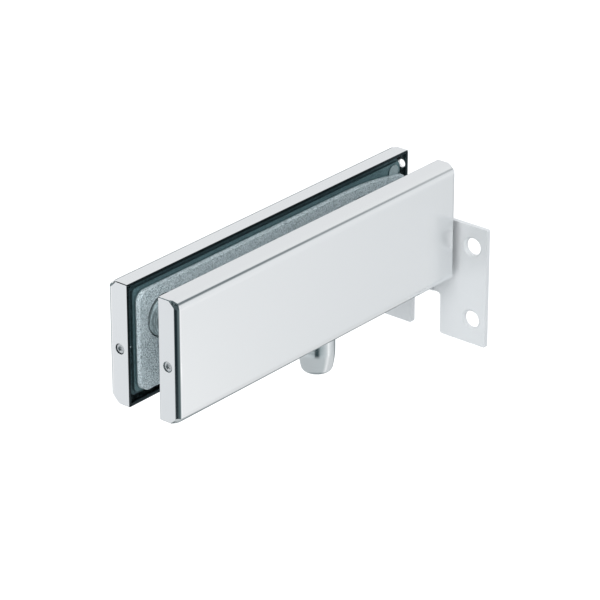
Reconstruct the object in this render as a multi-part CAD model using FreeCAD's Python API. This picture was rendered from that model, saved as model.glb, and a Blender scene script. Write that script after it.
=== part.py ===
"""Glass patch fitting: two clamping halves, a pivot pin below and a bracket plate at one end.

The origin is on the pin's axis, in the plane of the covers' lower faces. +X runs along
the fitting to the bracket, +Y from the front half to the rear half, +Z up. Millimetres.
"""
import FreeCAD, Part
import math
import os

V = FreeCAD.Vector

# Covers: folded sheet trays
LEFT_REACH = 104.0          # pin axis to the plain end
RIGHT_REACH = 69.0          # pin axis to the bracket end
COVER_HEIGHT = 52.0
COVER_DEPTH = 10.0
COVER_GAP = 16.0            # clear width between the two covers
SHEET = 1.2
LONG_BEND_R = 4.6           # outer radius of the top and bottom bends
END_BEND_R = 1.6            # outer radius of the two end bends
CORNER_SLIT = 0.3           # open mitre seam where two flanges meet
SEAM_END_GAP = 0.3          # seam end to the start of an end bend
SEAM_RELIEF_R = 0.6         # round relief at the seam's end
VIEW_HOLE_R = 1.8           # open hole high in the bracket end
VIEW_HOLE_EDGE = 2.3        # its centre from the flange's free edge
VIEW_HOLE_DROP = 6.2        # its centre below the top face

# Clamp bodies: castings that fill the covers
BODY_RECESS = 1.5           # casting face behind the covers' free edge
BODY_SEAT_GAP = 0.1         # casting back to the cover's inner face
BODY_TOP_GAP = 1.5          # casting to the top and bottom flanges
BODY_END_GAP = 2.4          # casting to the end flanges
BODY_EDGE_R = 2.2
BODY_BACK_R = 2.0           # rounding of the back's rim, to clear the bends
BODY_REBATE_WIDTH = 1.2     # step along the rim of the casting face
BODY_REBATE_DEPTH = 0.8
MARK_R = 3.1                # round ejector mark that stands on the casting face
MARK_HEIGHT = 0.45
MARK_END_MARGIN = 4.4       # its centre from the casting's bracket end
MARK_TOP_MARGIN = 5.0       # and from the casting's top
PAD_RISE = 0.6              # raised clamping pad
PAD_LEFT_MARGIN = 5.9       # pad edge from the covers' plain end
PAD_TOP_MARGIN = 5.5
PAD_BOTTOM_MARGIN = 4.2
PAD_CORNER_R = 6.0
PAD_NOTCH_R = 3.0           # corners of the openings for the block and the tongue
PAD_DROOP_RUN = 38.0        # length over which the pad's top edge curves down
PAD_DROOP = 4.2
GASKET_THICKNESS = 2.0
GASKET_INSET = 0.2
POCKET_DEPTH = 3.4          # casting pockets in the back
POCKET_WIDTH = 13.0
POCKET_HEIGHT = 14.0
POCKET_CORNER_R = 2.0
POCKET_COLUMNS = 3
POCKET_RIM = 4.0            # casting rim above and below the pockets
POCKET_RIB = 2.5            # rib between two pockets
POCKET_BOSS_GAP = 3.0       # metal between the left boss and the first pocket

# Clamp bolts, the bosses they screw into, and their threaded inserts
BOLT_LEFT_X = -84.5
BOLT_RIGHT_X = 35.5
BOLT_TOP_MARGIN = 19.0      # bolt axes below the covers' top faces
BOLT_R = 3.0
BOLT_PLAY = 0.3
BOSS_R = 8.0                # at its tip
BOSS_ROOT_R = 8.7           # at the casting's face, wider by the mould's draft
BOSS_TIP_Y = -3.0
BOSS_CLEARANCE = 0.35       # pad opening round a boss's root
BOLT_HEAD_R = 5.0
BOLT_HEAD_HEIGHT = 3.0
BOLT_SOCKET_AF = 3.5
BOLT_SOCKET_DEPTH = 1.7
BOLT_CHAMFER = 0.6
WASHER_R = 5.6
WASHER_THICKNESS = 0.8
COUNTERBORE_DEPTH = 4.0
COUNTERBORE_PLAY = 0.5
BOLT_TIP_Y = 7.5
INSERT_R = 5.0
INSERT_LENGTH = 11.0
INSERT_RUNNING_GAP = 0.08   # thread crest to bolt, on the radius
SINK_PLAY = 0.2             # clearance round countersunk heads and their shanks
HOLE_END_PLAY = 0.5         # blind holes run past what goes into them

# Pivot block and pin
BLOCK_LENGTH = 40.0
BLOCK_BOTTOM_Z = 1.9
BLOCK_HEIGHT = 30.0
BLOCK_FRONT_Y = -7.6
BLOCK_EDGE = 1.0
BLOCK_PLAY = 0.8            # pads and pocket round the block
BLOCK_POCKET_DEPTH = 3.0    # relief in the front casting
PIN_R = 7.5
PIN_SHANK_R = 5.0
PIN_SHANK_LENGTH = 25.0
PIN_FIT_GAP = 0.03
PIN_COLLAR_GAP = 0.5        # pin shoulder below the block
PIN_DROP = 21.5             # pin end below the covers
PIN_STRAIGHT = 12.5         # straight length below the covers
PIN_NOSE_LENGTH = 7.3       # gently curved length below that
PIN_NOSE_R = 6.1            # radius where the rounded end begins
PIN_TOP_CHAMFER = 0.6
PIN_NOTCH_PLAY = 0.8        # slot in the bottom flanges round the pin
PIN_NOTCH_REACH = 11.9      # depth of that slot from the middle plane
SET_SCREW_R = 3.0
SET_SCREW_LENGTH = 12.0
SET_SCREW_Z = 15.0
SET_SCREW_SOCKET_AF = 3.0
SET_SCREW_SOCKET_DEPTH = 3.0
BLOCK_SCREW_END_MARGIN = 6.0
BLOCK_SCREW_TOP_MARGIN = 8.0
BLOCK_SCREW_R = 2.5
BLOCK_SCREW_LENGTH = 16.0
BLOCK_SCREW_HEAD_R = 4.8
BLOCK_SCREW_HEAD_DEPTH = 2.4
BLOCK_SCREW_SOCKET_AF = 3.0
BLOCK_SCREW_SOCKET_DEPTH = 1.6

# Cover screws
COVER_SCREW_R = 2.0
COVER_SCREW_LENGTH = 9.0
COVER_SCREW_Z = 23.8
COVER_SCREW_Y = 12.25
COVER_SCREW_SET_BACK = 0.35  # screw end inside the cover's outer face
COVER_HOLE_PLAY = 0.25
COVER_SCREW_SOCKET_AF = 2.0
COVER_SCREW_SOCKET_DEPTH = 2.0
COVER_SCREW_CHAMFER = 0.35

# End bracket: plate with a tongue between the castings
PLATE_GAP = 3.6             # covers' end to the plate
PLATE_THICKNESS = 2.0
PLATE_HALF_WIDTH = 31.1
PLATE_TOP_Z = 25.0
PLATE_BOTTOM_Z = -28.6
PLATE_CORNER_R = 1.2
PLATE_SLOT_HALF_WIDTH = 7.5
PLATE_SLOT_TOP_Z = -10.0
PLATE_SLOT_CORNER_R = 1.6
PLATE_HOLE_SIDE_MARGIN = 7.5
PLATE_HOLE_TOP_MARGIN = 9.5
PLATE_HOLE_BOTTOM_MARGIN = 10.8
PLATE_HOLE_R = 3.8
PLATE_SINK_R = 5.7
PLATE_SINK_DEPTH = 1.4
TONGUE_THICKNESS = 8.0
TONGUE_REACH = 22.6         # from the plate back into the gap
TONGUE_TOP_Z = 22.0
TONGUE_BOTTOM_Z = 2.2
TONGUE_FOOT = 1.0           # level foot beside the plate
TONGUE_SLOPE_REACH = 7.4    # from the plate to the top of the sloping lower edge
TONGUE_CORNER_R = 1.5
TONGUE_PLAY = 1.2           # pads round the tongue
TONGUE_SEAT_INSET = 1.0     # seat from the tongue's free end
TONGUE_SCREW_R = 2.5
TONGUE_SCREW_INSET = 7.0    # screws from the tongue's free end
TONGUE_SCREW_MARGIN = 4.9   # screws from its upper and lower edges
TONGUE_SCREW_TIP_Y = 12.5
TONGUE_SCREW_HEAD_R = 4.6
TONGUE_SCREW_HEAD_DEPTH = 2.3
TONGUE_SOCKET_AF = 3.0
TONGUE_SOCKET_DEPTH = 1.6

# Planes that follow from the sizes above
LEFT_X = -LEFT_REACH
RIGHT_X = RIGHT_REACH
EDGE_Y = COVER_GAP / 2                       # covers' free edges
FACE_Y = EDGE_Y + COVER_DEPTH                # covers' outer faces
BODY_BACK_Y = FACE_Y - SHEET - BODY_SEAT_GAP
BODY_FACE_Y = EDGE_Y + BODY_RECESS
PAD_FACE_Y = BODY_FACE_Y - PAD_RISE
GASKET_FACE_Y = PAD_FACE_Y - GASKET_THICKNESS
BODY_LEFT_X = LEFT_X + SHEET + BODY_END_GAP
BODY_RIGHT_X = RIGHT_X - SHEET - BODY_END_GAP
BODY_BOTTOM_Z = SHEET + BODY_TOP_GAP
BODY_TOP_Z = COVER_HEIGHT - SHEET - BODY_TOP_GAP
BLOCK_TOP_Z = BLOCK_BOTTOM_Z + BLOCK_HEIGHT
BOLT_XS = (BOLT_LEFT_X, BOLT_RIGHT_X)
BOLT_Z = COVER_HEIGHT - BOLT_TOP_MARGIN
BLOCK_SCREW_X = BLOCK_LENGTH / 2 - BLOCK_SCREW_END_MARGIN
BLOCK_SCREW_Z = BLOCK_TOP_Z - BLOCK_SCREW_TOP_MARGIN
PLATE_INNER_X = RIGHT_X + PLATE_GAP
PLATE_HOLE_Y = PLATE_HALF_WIDTH - PLATE_HOLE_SIDE_MARGIN
PLATE_HOLE_ZS = (PLATE_BOTTOM_Z + PLATE_HOLE_BOTTOM_MARGIN, PLATE_TOP_Z - PLATE_HOLE_TOP_MARGIN)
TONGUE_LEFT_X = PLATE_INNER_X - TONGUE_REACH
TONGUE_SCREW_X = TONGUE_LEFT_X + TONGUE_SCREW_INSET
TONGUE_SCREW_ZS = (TONGUE_BOTTOM_Z + TONGUE_SCREW_MARGIN, TONGUE_TOP_Z - TONGUE_SCREW_MARGIN)

# Cutting tools run this far past the face that they cut
OVER = 1.0
# Two places closer than this are the same
NEAR = 1e-6


def box(x0, x1, y0, y1, z0, z1):
    """Block between two corners."""
    return Part.makeBox(x1 - x0, y1 - y0, z1 - z0, V(x0, y0, z0))


def rod(radius, start, end):
    """Cylinder from one point to another."""
    path = V(*end) - V(*start)
    return Part.makeCylinder(radius, path.Length, V(*start), path)


def cone(start_r, end_r, start, end):
    """Truncated cone from one point to another."""
    path = V(*end) - V(*start)
    return Part.makeCone(start_r, end_r, path.Length, V(*start), path)


def hexagon(flats, start, end):
    """Hexagonal prism, for a socket."""
    path = V(*end) - V(*start)
    turn = FreeCAD.Rotation(V(0, 0, 1), path)
    reach = flats / math.sqrt(3)
    corners = [V(reach * math.cos(k * math.pi / 3), reach * math.sin(k * math.pi / 3), 0) for k in range(6)]
    placed = [V(*start) + turn.multVec(corner) for corner in corners]
    return Part.Face(Part.makePolygon(placed + placed[:1])).extrude(path)


def plate_xz(points, y0, y1):
    """Prism along Y over a polygon drawn in X and Z."""
    corners = [V(x, y0, z) for x, z in points]
    return Part.Face(Part.makePolygon(corners + corners[:1])).extrude(V(0, y1 - y0, 0))


def edges_along(shape, axis, keep):
    """Straight edges parallel to an axis whose middle point passes a test."""
    found = []
    for edge in shape.Edges:
        if not isinstance(edge.Curve, Part.Line):
            continue
        run = edge.Vertexes[-1].Point - edge.Vertexes[0].Point
        middle = edge.CenterOfMass
        if abs(abs(run.normalize().dot(axis)) - 1) < 1e-6 and keep(middle):
            found.append(edge)
    return found


def rounded(shape, radius, axis, keep=lambda middle: True):
    """Fillet the straight edges that run along an axis."""
    return shape.makeFillet(radius, edges_along(shape, axis, keep))


def front_copy(shape):
    """The same shape on the front half, mirrored in the middle plane."""
    return shape.mirror(V(0, 0, 0), V(0, 1, 0))


def save(node, shape):
    """Write one piece."""
    solid = shape.removeSplitter()
    assert solid.isValid(), node
    solid.exportStep("parts/%s.step" % node)
    print(node, len(solid.Solids), round(solid.Volume, 1))


def tray(x0, x1, y0, y1, z0, z1, long_r, end_r):
    """Block with its outer face's edges rounded as sheet bends and its other edges square."""
    block = box(x0, x1, y0, y1, z0, z1)
    along = rounded(block, long_r, V(1, 0, 0), lambda middle: middle.y > y1 - NEAR)
    upright = rounded(block, end_r, V(0, 0, 1), lambda middle: middle.y > y1 - NEAR)
    return along.common(upright)


def rear_cover():
    """Folded tray with open corner seams, screw holes and a slot round the pin."""
    outer = tray(LEFT_X, RIGHT_X, EDGE_Y, FACE_Y, 0, COVER_HEIGHT, LONG_BEND_R, END_BEND_R)
    inner = tray(LEFT_X + SHEET, RIGHT_X - SHEET, EDGE_Y - OVER, FACE_Y - SHEET,
                 SHEET, COVER_HEIGHT - SHEET, LONG_BEND_R - SHEET, END_BEND_R - SHEET)
    cover = outer.cut(inner)
    for x, inward in ((LEFT_X, 1), (RIGHT_X, -1)):
        cover = cover.cut(end_seams(x, inward))
    hole_r = COVER_SCREW_R + COVER_HOLE_PLAY
    for x, inward in ((LEFT_X, 1), (RIGHT_X, -1)):
        start = (x - inward * OVER, COVER_SCREW_Y, COVER_SCREW_Z)
        end = (x + inward * (SHEET + OVER), COVER_SCREW_Y, COVER_SCREW_Z)
        cover = cover.cut(rod(hole_r, start, end))
    view_y = EDGE_Y + VIEW_HOLE_EDGE
    view_z = COVER_HEIGHT - VIEW_HOLE_DROP
    inside = (RIGHT_X - SHEET - OVER, view_y, view_z)
    cover = cover.cut(rod(VIEW_HOLE_R, inside, (RIGHT_X + OVER, view_y, view_z)))
    return cover.cut(pin_notch())


def cover_section(x, inset):
    """A cover's section across its length, inset from its outer surface."""
    near_y = EDGE_Y - OVER
    far_y = FACE_Y - inset
    low = inset
    high = COVER_HEIGHT - inset
    r = LONG_BEND_R - inset
    half = r * (1 - math.sqrt(0.5))
    bottom = [V(x, near_y, low), V(x, far_y - r, low)]
    side = [V(x, far_y, low + r), V(x, far_y, high - r)]
    top = [V(x, far_y - r, high), V(x, near_y, high)]
    low_bend = Part.Arc(bottom[1], V(x, far_y - half, low + half), side[0]).toShape()
    high_bend = Part.Arc(side[1], V(x, far_y - half, high - half), top[0]).toShape()
    lines = [Part.LineSegment(*ends).toShape() for ends in (bottom, side, top, [top[1], bottom[0]])]
    return Part.Wire([lines[0], low_bend, lines[1], high_bend, lines[2], lines[3]])


def end_seams(end_x, inward):
    """Mitred slits round an end flange, each with a round relief at the end bend."""
    half = CORNER_SLIT / math.sqrt(2)
    blanks = []
    for shift in (half, -half):
        sections = [cover_section(end_x + inward * (depth + shift), depth) for depth in (-OVER, SHEET + OVER)]
        blanks.append(Part.makeLoft(sections, True, True))
    end_y = FACE_Y - END_BEND_R - SEAM_END_GAP
    reach = 2 * OVER + SHEET
    limit = box(end_x - reach, end_x + reach, 0, end_y, -reach, COVER_HEIGHT + reach)
    seams = blanks[0].cut(blanks[1]).common(limit)
    side_y = (end_y - FACE_Y + LONG_BEND_R) / LONG_BEND_R
    rise = math.sqrt(1 - side_y ** 2)
    for centre_z, up in ((LONG_BEND_R, -1), (COVER_HEIGHT - LONG_BEND_R, 1)):
        mouth = V(end_x, end_y, centre_z + up * LONG_BEND_R * rise)
        way = V(inward, -side_y, -up * rise)
        seams = seams.fuse(rod(SEAM_RELIEF_R, mouth - way * OVER, mouth + way * (SHEET + OVER)))
    return seams


def pin_notch():
    """Round-ended slot in a bottom flange, clear of the pin over the clamping travel."""
    half_width = PIN_R + PIN_NOTCH_PLAY
    centre_y = PIN_NOTCH_REACH - half_width
    straight = box(-half_width, half_width, 0, centre_y, -OVER, SHEET + OVER)
    return straight.fuse(rod(half_width, (0, centre_y, -OVER), (0, centre_y, SHEET + OVER)))


def pad_shape(y0, y1, inset):
    """Clamping pad outline with notches for the block and the tongue, as a prism."""
    left = LEFT_X + PAD_LEFT_MARGIN + inset
    right = BODY_RIGHT_X - inset
    low = PAD_BOTTOM_MARGIN + inset
    high = COVER_HEIGHT - PAD_TOP_MARGIN - inset
    half_block = BLOCK_LENGTH / 2 + BLOCK_PLAY + inset
    block_high = BLOCK_TOP_Z + BLOCK_PLAY + inset
    tongue_left = TONGUE_LEFT_X - TONGUE_PLAY - inset
    tongue_high = TONGUE_TOP_Z + TONGUE_PLAY + inset
    droop_r = (PAD_DROOP_RUN ** 2 + PAD_DROOP ** 2) / (2 * PAD_DROOP)
    droop_start = BODY_RIGHT_X - PAD_DROOP_RUN
    turn = math.asin((right - droop_start) / droop_r)

    def droop(angle):
        return V(droop_start + droop_r * math.sin(angle), y0, high - droop_r * (1 - math.cos(angle)))

    arc = Part.Arc(droop(0), droop(turn / 2), droop(turn)).toShape()
    outline = [(right, tongue_high), (tongue_left, tongue_high), (tongue_left, low), (half_block, low),
               (half_block, block_high), (-half_block, block_high), (-half_block, low), (left, low), (left, high)]
    corners = [droop(turn)] + [V(x, y0, z) for x, z in outline] + [droop(0)]
    sides = [Part.LineSegment(a, b).toShape() for a, b in zip(corners, corners[1:])]
    pad = Part.Face(Part.Wire([arc] + sides)).extrude(V(0, y1 - y0, 0))
    pad = rounded(pad, PAD_CORNER_R - inset, V(0, 1, 0), lambda middle: middle.x < left + NEAR)
    return rounded(pad, PAD_NOTCH_R, V(0, 1, 0), lambda middle: left + NEAR < middle.x < right - OVER)


def boss_openings(y0, y1):
    """Round clearances through a pad at the two bosses."""
    opening_r = BOSS_ROOT_R + BOSS_CLEARANCE
    first, second = [rod(opening_r, (x, y0, BOLT_Z), (x, y1, BOLT_Z)) for x in BOLT_XS]
    return first.fuse(second)


def casting_blank():
    """What the two castings share: base, pad, cover screw holes and back pockets."""
    step_y = BODY_FACE_Y + BODY_REBATE_DEPTH
    base = box(BODY_LEFT_X, BODY_RIGHT_X, step_y, BODY_BACK_Y, BODY_BOTTOM_Z, BODY_TOP_Z)
    base = rounded(base, BODY_EDGE_R, V(0, 1, 0))
    back = [edge for edge in base.Edges if edge.BoundBox.YMin > BODY_BACK_Y - NEAR]
    base = base.makeFillet(BODY_BACK_R, back)
    face = box(BODY_LEFT_X + BODY_REBATE_WIDTH, BODY_RIGHT_X, BODY_FACE_Y, step_y + OVER,
               BODY_BOTTOM_Z + BODY_REBATE_WIDTH, BODY_TOP_Z - BODY_REBATE_WIDTH)
    body = base.fuse(rounded(face, BODY_EDGE_R, V(0, 1, 0)))
    mark_x = BODY_RIGHT_X - MARK_END_MARGIN
    mark_z = BODY_TOP_Z - MARK_TOP_MARGIN
    body = body.fuse(rod(MARK_R, (mark_x, BODY_FACE_Y - MARK_HEIGHT, mark_z), (mark_x, step_y, mark_z)))
    body = body.fuse(pad_shape(PAD_FACE_Y, step_y, 0))
    for x, inward in ((BODY_LEFT_X, 1), (BODY_RIGHT_X, -1)):
        start = (x - inward * OVER, COVER_SCREW_Y, COVER_SCREW_Z)
        end = (x + inward * COVER_SCREW_LENGTH, COVER_SCREW_Y, COVER_SCREW_Z)
        body = body.cut(rod(COVER_SCREW_R, start, end))
    for x, z in pocket_places():
        body = body.cut(back_pocket(x, z))
    return body


def pocket_places():
    """Centres of the casting pockets, two rows that miss the bolts and the block's screws."""
    low = BODY_BOTTOM_Z + POCKET_HEIGHT / 2 + POCKET_RIM
    high = BODY_TOP_Z - POCKET_HEIGHT / 2 - POCKET_RIM
    free_left = BOLT_LEFT_X + BOSS_R + POCKET_WIDTH / 2 + POCKET_BOSS_GAP
    pitch = POCKET_WIDTH + POCKET_RIB
    return [(free_left + column * pitch, z) for column in range(POCKET_COLUMNS) for z in (low, high)]


def back_pocket(x, z):
    """One rounded pocket in the back of a casting."""
    half_w = POCKET_WIDTH / 2
    half_h = POCKET_HEIGHT / 2
    floor_y = BODY_BACK_Y - POCKET_DEPTH
    pocket = box(x - half_w, x + half_w, floor_y, BODY_BACK_Y + OVER, z - half_h, z + half_h)
    return rounded(pocket, POCKET_CORNER_R, V(0, 1, 0))


def rear_clamp_body():
    """Casting with the two bolt bosses, the bracket's seat and the block's screw holes."""
    body = casting_blank().cut(boss_openings(PAD_FACE_Y - OVER, BODY_FACE_Y))
    insert_end_y = BOSS_TIP_Y + INSERT_LENGTH
    for x in BOLT_XS:
        boss = cone(BOSS_R, BOSS_ROOT_R, (x, BOSS_TIP_Y, BOLT_Z), (x, BODY_FACE_Y, BOLT_Z))
        body = body.fuse(boss)
        body = body.cut(rod(INSERT_R, (x, BOSS_TIP_Y - OVER, BOLT_Z), (x, insert_end_y, BOLT_Z)))
        body = body.cut(rod(BOLT_R + BOLT_PLAY, (x, BOSS_TIP_Y, BOLT_Z), (x, BODY_BACK_Y + OVER, BOLT_Z)))
    seat = box(TONGUE_LEFT_X + TONGUE_SEAT_INSET, BODY_RIGHT_X, TONGUE_THICKNESS / 2, BODY_FACE_Y + OVER,
               BODY_BOTTOM_Z, TONGUE_TOP_Z)
    body = body.fuse(rounded(seat, BODY_EDGE_R, V(0, 1, 0)))
    hole_end_y = TONGUE_SCREW_TIP_Y + HOLE_END_PLAY
    for z in TONGUE_SCREW_ZS:
        body = body.cut(rod(TONGUE_SCREW_R, (TONGUE_SCREW_X, 0, z), (TONGUE_SCREW_X, hole_end_y, z)))
    land_r = BLOCK_SCREW_R + SINK_PLAY
    for x in (-BLOCK_SCREW_X, BLOCK_SCREW_X):
        start = (x, BODY_BACK_Y, BLOCK_SCREW_Z)
        sink_end = (x, BODY_BACK_Y - BLOCK_SCREW_HEAD_DEPTH, BLOCK_SCREW_Z)
        body = body.cut(cone(BLOCK_SCREW_HEAD_R + SINK_PLAY, land_r, start, sink_end))
        body = body.cut(rod(land_r, start, (x, BODY_FACE_Y - OVER, BLOCK_SCREW_Z)))
    return body


def front_clamp_body():
    """Casting with counterbored bolt holes and a relief over the block."""
    blank = front_copy(casting_blank().cut(boss_openings(PAD_FACE_Y - OVER, BODY_FACE_Y)))
    half_block = BLOCK_LENGTH / 2 + BLOCK_PLAY
    relief = box(-half_block, half_block, -BODY_FACE_Y - BLOCK_POCKET_DEPTH, 0,
                 BODY_BOTTOM_Z - OVER, BLOCK_TOP_Z + BLOCK_PLAY)
    body = blank.cut(rounded(relief, BODY_EDGE_R, V(0, 1, 0), lambda middle: middle.z > BLOCK_BOTTOM_Z))
    for x in BOLT_XS:
        back = (x, -BODY_BACK_Y - OVER, BOLT_Z)
        body = body.cut(rod(BOLT_R + BOLT_PLAY, back, (x, 0, BOLT_Z)))
        floor = (x, -BODY_BACK_Y + COUNTERBORE_DEPTH, BOLT_Z)
        body = body.cut(rod(WASHER_R + COUNTERBORE_PLAY, back, floor))
    return body


def gasket(side):
    """Flat gasket on a pad, open at the bosses, the block and the tongue."""
    sheet = pad_shape(GASKET_FACE_Y, PAD_FACE_Y, GASKET_INSET)
    sheet = sheet.cut(boss_openings(GASKET_FACE_Y - OVER, PAD_FACE_Y + OVER))
    return sheet if side == "rear" else front_copy(sheet)


def threaded_insert(x):
    """Steel sleeve pressed into a boss."""
    start = (x, BOSS_TIP_Y, BOLT_Z)
    end = (x, BOSS_TIP_Y + INSERT_LENGTH, BOLT_Z)
    return rod(INSERT_R, start, end).cut(rod(BOLT_R + INSERT_RUNNING_GAP, start, end))


def clamp_bolt(x):
    """Low-head socket bolt through the front casting into an insert."""
    head_y = -BODY_BACK_Y + COUNTERBORE_DEPTH - WASHER_THICKNESS
    top_y = head_y - BOLT_HEAD_HEIGHT
    head = rod(BOLT_HEAD_R, (x, top_y, BOLT_Z), (x, head_y, BOLT_Z))
    rim = [edge for edge in head.Edges if edge.BoundBox.YMax < top_y + NEAR]
    head = head.makeFillet(BOLT_CHAMFER, rim)
    shank = rod(BOLT_R, (x, head_y - OVER, BOLT_Z), (x, BOLT_TIP_Y, BOLT_Z))
    tip = [edge for edge in shank.Edges if edge.BoundBox.YMin > BOLT_TIP_Y - NEAR]
    bolt = head.fuse(shank.makeChamfer(BOLT_CHAMFER, tip))
    floor_y = top_y + BOLT_SOCKET_DEPTH
    return bolt.cut(hexagon(BOLT_SOCKET_AF, (x, top_y - OVER, BOLT_Z), (x, floor_y, BOLT_Z)))


def clamp_washer(x):
    """Plain washer under a clamp bolt's head."""
    floor_y = -BODY_BACK_Y + COUNTERBORE_DEPTH
    start = (x, floor_y - WASHER_THICKNESS, BOLT_Z)
    end = (x, floor_y, BOLT_Z)
    return rod(WASHER_R, start, end).cut(rod(BOLT_R + BOLT_PLAY, start, end))


def pivot_block():
    """Block between the castings that carries the pin."""
    half = BLOCK_LENGTH / 2
    block = box(-half, half, BLOCK_FRONT_Y, BODY_FACE_Y, BLOCK_BOTTOM_Z, BLOCK_TOP_Z)
    upright = edges_along(block, V(0, 1, 0), lambda middle: True)
    block = block.makeChamfer(BLOCK_EDGE, upright)
    bore_top = BLOCK_BOTTOM_Z + PIN_SHANK_LENGTH + HOLE_END_PLAY
    block = block.cut(rod(PIN_SHANK_R + PIN_FIT_GAP, (0, 0, BLOCK_BOTTOM_Z - OVER), (0, 0, bore_top)))
    block = block.cut(rod(SET_SCREW_R, (-half - OVER, 0, SET_SCREW_Z), (-PIN_SHANK_R + OVER, 0, SET_SCREW_Z)))
    tip_y = BODY_BACK_Y - BLOCK_SCREW_LENGTH - HOLE_END_PLAY
    for x in (-BLOCK_SCREW_X, BLOCK_SCREW_X):
        mouth = (x, BODY_FACE_Y + OVER, BLOCK_SCREW_Z)
        block = block.cut(rod(BLOCK_SCREW_R, mouth, (x, tip_y, BLOCK_SCREW_Z)))
    return block


def pivot_pin():
    """Turned pin: hidden shank, collar and straight bearing length, rounded end."""
    shank_top = BLOCK_BOTTOM_Z + PIN_SHANK_LENGTH
    collar_z = BLOCK_BOTTOM_Z - PIN_COLLAR_GAP
    nose_z = -PIN_STRAIGHT - PIN_NOSE_LENGTH
    step = PIN_R - PIN_NOSE_R
    sweep_r = (PIN_NOSE_LENGTH ** 2 + step ** 2) / (2 * step)
    sweep = math.asin(PIN_NOSE_LENGTH / sweep_r)
    end_r = (PIN_DROP + nose_z) / (1 - math.sin(sweep))
    end_centre = V(PIN_NOSE_R - end_r * math.cos(sweep), 0, -PIN_DROP + end_r)

    def on_sweep(angle):
        return V(PIN_R - sweep_r * (1 - math.cos(angle)), 0, -PIN_STRAIGHT - sweep_r * math.sin(angle))

    def on_end(angle):
        return end_centre + V(end_r * math.cos(angle), 0, -end_r * math.sin(angle))

    points = [on_end(math.pi / 2), V(0, 0, -PIN_DROP), V(0, 0, shank_top),
              V(PIN_SHANK_R - PIN_TOP_CHAMFER, 0, shank_top), V(PIN_SHANK_R, 0, shank_top - PIN_TOP_CHAMFER),
              V(PIN_SHANK_R, 0, collar_z), V(PIN_R, 0, collar_z), on_sweep(0)]
    lines = [Part.LineSegment(a, b).toShape() for a, b in zip(points, points[1:])]
    nose = Part.Arc(on_sweep(0), on_sweep(sweep / 2), on_sweep(sweep)).toShape()
    end = Part.Arc(on_end(sweep), on_end((sweep + math.pi / 2) / 2), on_end(math.pi / 2)).toShape()
    profile = Part.Face(Part.Wire(lines + [nose, end]))
    return profile.revolve(V(0, 0, 0), V(0, 0, 1), 360)


def pin_set_screw():
    """Socket set screw that locks the pin in the block."""
    start_x = -PIN_SHANK_R - SET_SCREW_LENGTH
    screw = rod(SET_SCREW_R, (start_x, 0, SET_SCREW_Z), (-PIN_SHANK_R, 0, SET_SCREW_Z))
    mouth = (start_x - OVER, 0, SET_SCREW_Z)
    floor = (start_x + SET_SCREW_SOCKET_DEPTH, 0, SET_SCREW_Z)
    return screw.cut(hexagon(SET_SCREW_SOCKET_AF, mouth, floor))


def block_screw(x):
    """Countersunk screw from the back of the rear casting into the block."""
    back_y = BODY_BACK_Y
    sink_y = back_y - BLOCK_SCREW_HEAD_DEPTH
    head = cone(BLOCK_SCREW_HEAD_R, BLOCK_SCREW_R, (x, back_y, BLOCK_SCREW_Z), (x, sink_y, BLOCK_SCREW_Z))
    tip_y = back_y - BLOCK_SCREW_LENGTH
    shank = rod(BLOCK_SCREW_R, (x, back_y - OVER, BLOCK_SCREW_Z), (x, tip_y, BLOCK_SCREW_Z))
    floor_y = back_y - BLOCK_SCREW_SOCKET_DEPTH
    socket = hexagon(BLOCK_SCREW_SOCKET_AF, (x, back_y + OVER, BLOCK_SCREW_Z), (x, floor_y, BLOCK_SCREW_Z))
    return head.fuse(shank).cut(socket)


def cover_screw(end, side):
    """Set screw in a casting's end that stands in the cover's hole."""
    y = COVER_SCREW_Y if side == "rear" else -COVER_SCREW_Y
    inward = 1 if end == "left" else -1
    outer_x = LEFT_X if end == "left" else RIGHT_X
    head_x = outer_x + inward * COVER_SCREW_SET_BACK
    tip_x = head_x + inward * COVER_SCREW_LENGTH
    screw = rod(COVER_SCREW_R, (head_x, y, COVER_SCREW_Z), (tip_x, y, COVER_SCREW_Z))
    rims = [edge for edge in screw.Edges if isinstance(edge.Curve, Part.Circle)]
    screw = screw.makeChamfer(COVER_SCREW_CHAMFER, rims)
    mouth = (head_x - inward * OVER, y, COVER_SCREW_Z)
    floor = (head_x + inward * COVER_SCREW_SOCKET_DEPTH, y, COVER_SCREW_Z)
    return screw.cut(hexagon(COVER_SCREW_SOCKET_AF, mouth, floor))


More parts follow.
